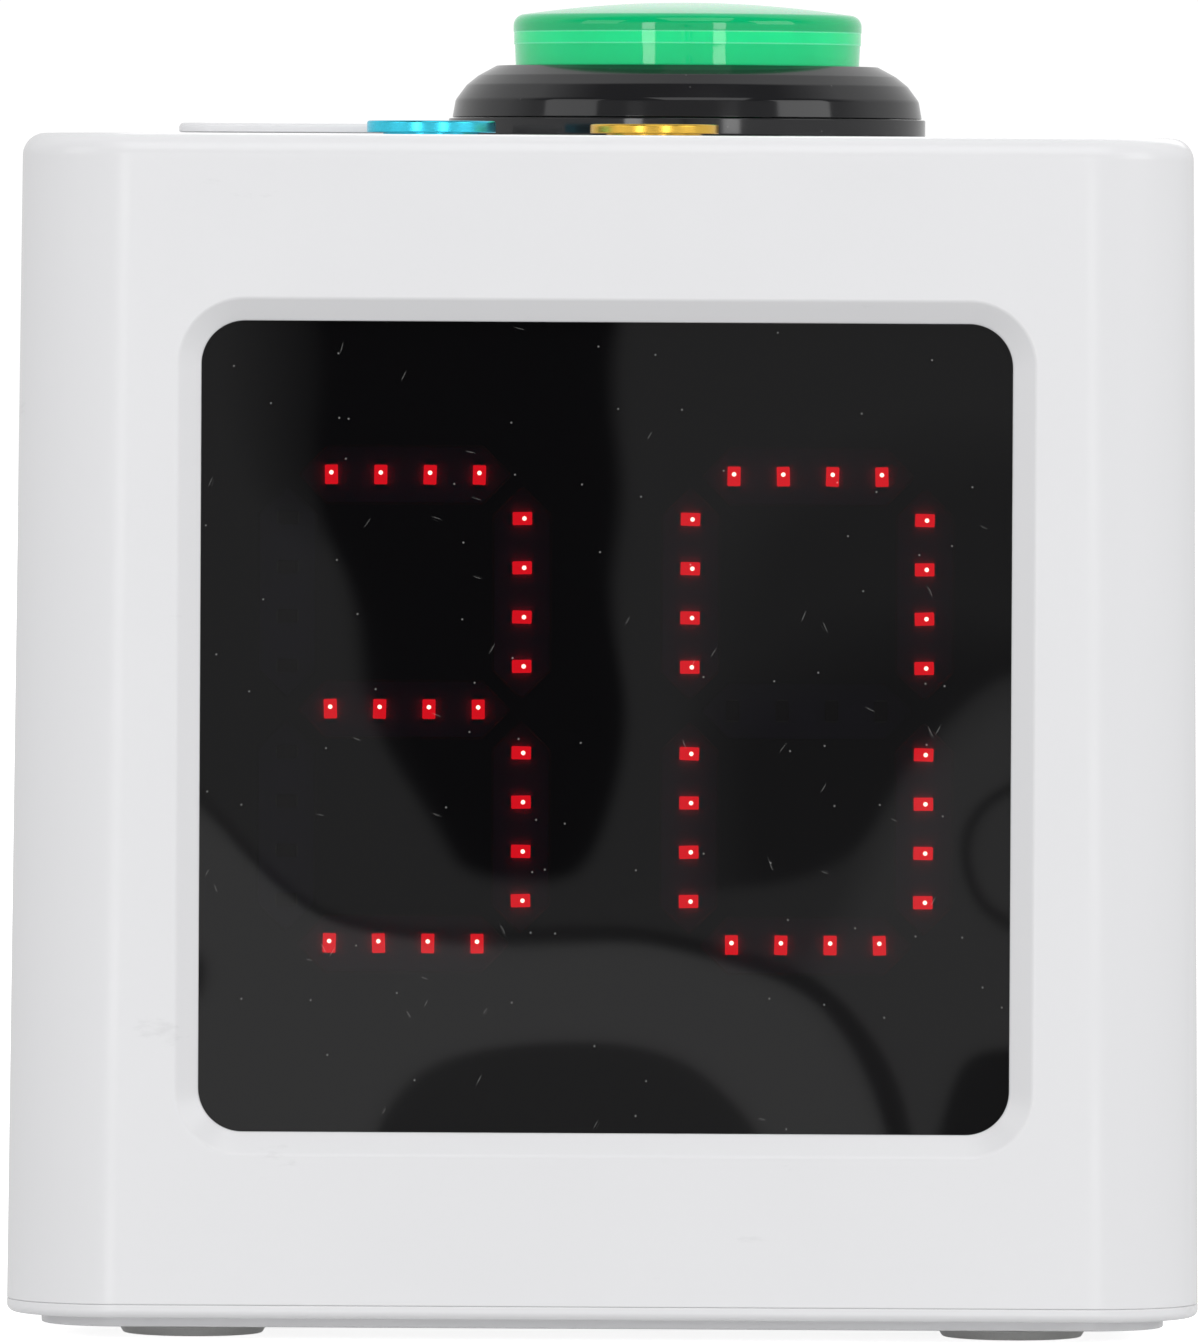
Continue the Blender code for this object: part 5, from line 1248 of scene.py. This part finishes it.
class TIMER_OT_studio(bpy.types.Operator):
    """Make the floor, the light and the camera"""
    bl_idname = "timer.studio"
    bl_label = "Studio"

    def execute(self, context):
        studio = context.scene.timer_studio
        scene = context.scene
        scene.view_settings.view_transform = "Standard"
        self.surroundings(scene, studio)
        if studio.show_floor:
            self.floor()
        self.cards()
        self.lights(scene)
        data = bpy.data.cameras.new("camera")
        data.lens, data.sensor_width, data.clip_end = studio.lens, 36.0, 60.0
        camera = bpy.data.objects.new("camera", data)
        camera.location = (studio.aside, -studio.distance, studio.height)
        camera.rotation_euler = (math.pi / 2 - studio.pitch, studio.roll, 0)
        scene.collection.objects.link(camera)
        scene.camera = camera
        return {"FINISHED"}

    @staticmethod
    def surroundings(scene, studio):
        """Soft light that grows upwards, a dark ceiling for glossy faces, and plain white for the camera."""
        world = bpy.data.worlds.new("studio")
        world.use_nodes = True
        tree = world.node_tree
        tree.nodes.clear()
        path = add(tree, "ShaderNodeLightPath")
        at = add(tree, "ShaderNodeTexCoord")
        way = add(tree, "ShaderNodeSeparateXYZ", links={"Vector": (at, "Generated")})
        upwards = ranged(tree, (way, "Z"), studio.below, studio.above, -0.3, 0.3)
        ceiling = ranged(tree, (way, "Z"), 0.70, 0.10, 0.10, 0.45)
        behind = ranged(tree, (way, "Y"), 0.0, 1.0, -0.1, 0.25)
        seen = add(tree, "ShaderNodeMix", {"B": 0.74},
                   {"Factor": (behind, "Result"), "A": (ceiling, "Result")}, data_type="FLOAT")
        chosen = add(tree, "ShaderNodeMix", links={
            "Factor": (path, "Is Glossy Ray"), "A": (upwards, "Result"), "B": (seen, "Result")},
            data_type="FLOAT")
        soft = add(tree, "ShaderNodeBackground", {"Color": (1.0, 1.0, 1.0, 1.0)},
                   {"Strength": (chosen, "Result")})
        white = add(tree, "ShaderNodeBackground", {"Color": (1.0, 1.0, 1.0, 1.0), "Strength": 1.05})
        mixed = add(tree, "ShaderNodeMixShader", links={"Fac": (path, "Is Camera Ray"), 1: (soft, 0),
                                                        2: (white, 0)})
        add(tree, "ShaderNodeOutputWorld", links={"Surface": (mixed, 0)})
        scene.world = world

    @staticmethod
    def floor():
        """A matt white table kept bright, and a mat just below it that shades the timer's underside."""
        material, *_ = surface("matt_white_table", (0.92, 0.92, 0.92), 1.0, specular_ior_level=0.0,
                               emission_color=(1.0, 1.0, 1.0), emission_strength=0.85)
        table = stage_card("table", rectangle(12.0, 12.0), Matrix.Translation((0, 0, -0.00005)), material)
        table.visible_glossy = table.visible_diffuse = False
        material, *_ = surface("grey_felt_mat", (0.88, 0.88, 0.88), 1.0, specular_ior_level=0.0)
        mat = stage_card("mat", rectangle(0.160, 0.104), Matrix.Translation((0, 0, -0.0003)), material)
        mat.visible_camera = mat.visible_glossy = False

    @staticmethod
    def cards():
        """What the pane reflects: a grey wall behind the camera, and pale and dark cloths in front of it."""
        upright = Matrix.Rotation(math.pi / 2, 4, "X")
        mirror = 2.275                  # size of a thing on the wall against its reflection in the pane
        centre = Vector((0, -2.6, 0.0457))

        def lit_cloth(name, brightness):
            """A cloth lit evenly, thinning away where its cover falls to nothing."""
            material = bpy.data.materials.new(name)
            material.use_nodes = True
            tree = material.node_tree
            tree.nodes.clear()
            cover = add(tree, "ShaderNodeAttribute", attribute_name="cover")
            nothing = add(tree, "ShaderNodeBsdfTransparent")
            shine = add(tree, "ShaderNodeEmission", {"Strength": brightness})
            both = add(tree, "ShaderNodeMixShader",
                       links={"Fac": (cover, "Fac"), 1: (nothing, 0), 2: (shine, 0)})
            add(tree, "ShaderNodeOutputMaterial", links={"Surface": (both, 0)})
            return material

        def hung(name, outline, brightness, nearer, soft, widths=None):
            """A cloth given as it shows in the pane, in mm: an outline, or a middle line and two half widths."""
            points = [Vector(point) for point in outline]
            for _ in range(3):
                pairs = list(zip(points, points[1:])) + ([] if widths else [(points[-1], points[0])])
                points = [q for a, b in pairs for q in (a.lerp(b, 0.25), a.lerp(b, 0.75))]
            if widths:
                side = [Vector((-(b - a).y, (b - a).x)).normalized() for a, b in zip(points, points[1:])]
                side.append(side[-1])
                wide = [widths[0] + (widths[1] - widths[0]) * i / len(points) for i in range(len(points))]
                points = ([p + n * w for p, n, w in zip(points, side, wide)]
                          + [p - n * w for p, n, w in reversed(list(zip(points, side, wide)))])
            count = len(points)
            if sum(points[i - 1].cross(points[i]) for i in range(count)) < 0:
                points.reverse()
            away = []
            for i in range(count):
                along = (points[(i + 1) % count] - points[i - 1]).normalized()
                away.append(Vector((along.y, -along.x)))
            mesh_data = bmesh.new()
            cover = mesh_data.verts.layers.float.new("cover")
            inner, outer = [], []
            for point, out in zip(points, away):
                for shift, ring, amount in ((-soft / 2, inner, 1.0), (soft / 2, outer, 0.0)):
                    at = point + out * shift
                    vertex = mesh_data.verts.new((at.x * MM * mirror, at.y * MM * mirror, 0))
                    vertex[cover] = amount
                    ring.append(vertex)
            mesh_data.faces.new(inner)
            for i in range(count):
                j = (i + 1) % count
                mesh_data.faces.new((inner[i], outer[i], outer[j], inner[j]))
            mesh_data.transform(Matrix.Translation(centre + Vector((0, nearer * MM, 0))) @ upright)
            card = as_object(name, mesh_data)
            card.data.materials.append(lit_cloth(name, brightness))
            card.visible_camera = card.visible_diffuse = card.visible_shadow = False
            card.visible_transmission = False

        hung("grey_wall", [(-110, -75), (110, -75), (110, 75), (-110, 75)], 0.49, 0, 1)
        hung("dusk_above", [(13, 34), (13, -22), (28, -22), (60, 0), (70, 34)], 0.36, 1, 10)
        hung("dusk_below", [(13, 10), (13, -24), (28, -24), (48, -4), (66, 10)], 0.22, 2, 10)
        hung("pale_side", [(26, -70), (22, -36), (32, -20), (39, -7), (45, 1), (56, 6), (70, 8), (70, -70)],
             0.76, 4, 5)
        hung("grey_lip", [(0, -20), (12, -20), (28, -18.6), (35, -13), (40, -2.6), (50, 6), (62, 10),
                          (56, -2), (44, -10), (38, -20), (30, -28), (12, -26), (0, -25)], 0.50, 3, 1.6)
        edge = [(-49.8, -10.6), (-43.3, -16.5), (-36.7, -21.8), (-30.1, -24.5), (-18.2, -25.1), (-1, -25.1),
                (6.8, -25.7), (14.7, -28.2), (21.4, -31), (26.7, -34.4), (30.6, -39.7), (34.6, -46.2)]
        hung("pale_cloth", [(-90, -6), (-58, -6), *edge, (40, -70), (-90, -70)], 1.03, 5, 1.0)
        hung("wedge_shade", [(-40.5, 70), (-40.5, 34), (-37.5, 28), (-30, 24), (-22, 30), (-22, 70)],
             0.09, 6, 13)
        hung("dark_wedge", [(-35, 70), (-35.5, 40), (-35.7, 26.4), (-31.5, 15.8), (-26.2, 2.6), (-19.5, -11.9),
                            (-16.5, -19), (-6, -19.4), (-1.8, -16.4), (1.2, -9.2), (2.4, -1.4), (2.7, 7.9),
                            (2.6, 70)], 0.07, 7, 1.8)
        hung("dark_strap", [(-60, -3), *edge, (38, -56)], 0.24, 8, 0.8, (0.45, 1.5))
        hung("dark_arch", [(-29.5, -70), (-28.8, -50.2), (-27.4, -45.6), (-22.2, -41.6), (-13, -38.6),
                           (-3.8, -37.5), (5.5, -38.1), (13.5, -40.9), (18.7, -45.6), (21.1, -50.2),
                           (22, -70)], 0.42, 9, 1.2)
        hung("dark_hook", [(56, -5), (49.5, -6.5), (46.4, -12), (46.2, -18), (48.6, -22.5), (56, -25)],
             0.26, 10, 0.9, (0.6, 0.6))
        hung("dark_corner", [(39.5, -70), (40.5, -48), (43.5, -40.5), (49, -38), (62, -38), (62, -70)],
             0.24, 11, 1.6)
        hung("dark_spot", [(-58, -26), (-49.8, -28), (-48.2, -32), (-49.6, -35.2), (-58, -37)], 0.42, 12, 1.0)

    @staticmethod
    def lights(scene):
        """Soft lamps all round, tall ones that streak the white walls, and two for the bright parts."""
        white = ("housing_shell", "base_cover_moulding", "base_plate_moulding", "label_pad_moulding")
        bright = ("dome_bezel_ring", "dome_barrel_moulding", "dome_lens_moulding", "blue_button_ring",
                  "blue_button_press", "gold_button_ring", "gold_button_press")
        for name, place, size, power, only in (
                ("over_front", (0.15, -0.9, 1.3), (1.0, 1.0), 4.0, None),
                ("left", (-1.3, -0.7, 0.7), (0.8, 0.8), 2.2, None),
                ("right", (1.3, -0.7, 0.7), (0.8, 0.8), 3.6, None),
                ("rear", (0.3, 1.4, 1.0), (0.9, 0.9), 3.0, white),
                ("left_window", (-1.22, -2.5, 0.4), (0.42, 1.3), 7.5, bright),
                ("right_window", (1.0, -2.6, 0.4), (0.42, 1.3), 7.0, bright),
                ("left_strip", (-0.42, -2.6, 0.2), (0.5, 1.4), 4.0, white),
                ("right_strip", (0.42, -2.6, 0.2), (0.5, 1.4), 3.6, white)):
            data = bpy.data.lights.new(name, "AREA")
            data.shape, data.energy = "RECTANGLE", power
            data.size, data.size_y = size
            lamp = bpy.data.objects.new(name, data)
            lamp.location = place
            lamp.rotation_euler = (Vector((0, 0, 0.08)) - Vector(place)).to_track_quat("-Z", "Y").to_euler()
            scene.collection.objects.link(lamp)
            if only:
                lit = bpy.data.collections.new(name + "_lights")
                for piece in only:
                    lit.objects.link(bpy.data.objects[piece])
                lamp.light_linking.receiver_collection = lit


# ---------------------------------------------------------------- sidebar

OPERATORS = (TIMER_OT_shell, TIMER_OT_base, TIMER_OT_window, TIMER_OT_display, TIMER_OT_dome_button,
             TIMER_OT_small_buttons, TIMER_OT_label_pad, TIMER_OT_rear_fittings, TIMER_OT_inside,
             TIMER_OT_studio)
SETTINGS = {"timer_shell": ShellSettings, "timer_window": WindowSettings, "timer_display": DisplaySettings,
            "timer_dome": DomeSettings, "timer_small": SmallButtonSettings, "timer_studio": StudioSettings}


class TIMER_PT_sidebar(bpy.types.Panel):
    """The timer's steps and settings"""
    bl_idname = "TIMER_PT_sidebar"
    bl_label = "Countdown Timer"
    bl_space_type = "VIEW_3D"
    bl_region_type = "UI"
    bl_category = "Timer"

    def draw(self, context):
        for operator in OPERATORS:
            self.layout.operator(operator.bl_idname)
        for name, group in SETTINGS.items():
            box = self.layout.box()
            box.label(text=group.__doc__)
            for key in group.__annotations__:
                box.prop(getattr(context.scene, name), key)


def register():
    for group in SETTINGS.values():
        bpy.utils.register_class(group)
    for name, group in SETTINGS.items():
        setattr(bpy.types.Scene, name, PointerProperty(type=group))
    for operator in OPERATORS:
        bpy.utils.register_class(operator)
    bpy.utils.register_class(TIMER_PT_sidebar)


def unregister():
    bpy.utils.unregister_class(TIMER_PT_sidebar)
    for operator in reversed(OPERATORS):
        bpy.utils.unregister_class(operator)
    for name in SETTINGS:
        delattr(bpy.types.Scene, name)
    for group in reversed(list(SETTINGS.values())):
        bpy.utils.unregister_class(group)


def main():
    register()
    for operator in OPERATORS:
        family, name = operator.bl_idname.split(".")
        getattr(getattr(bpy.ops, family), name)()


if __name__ == "__main__":
    main()
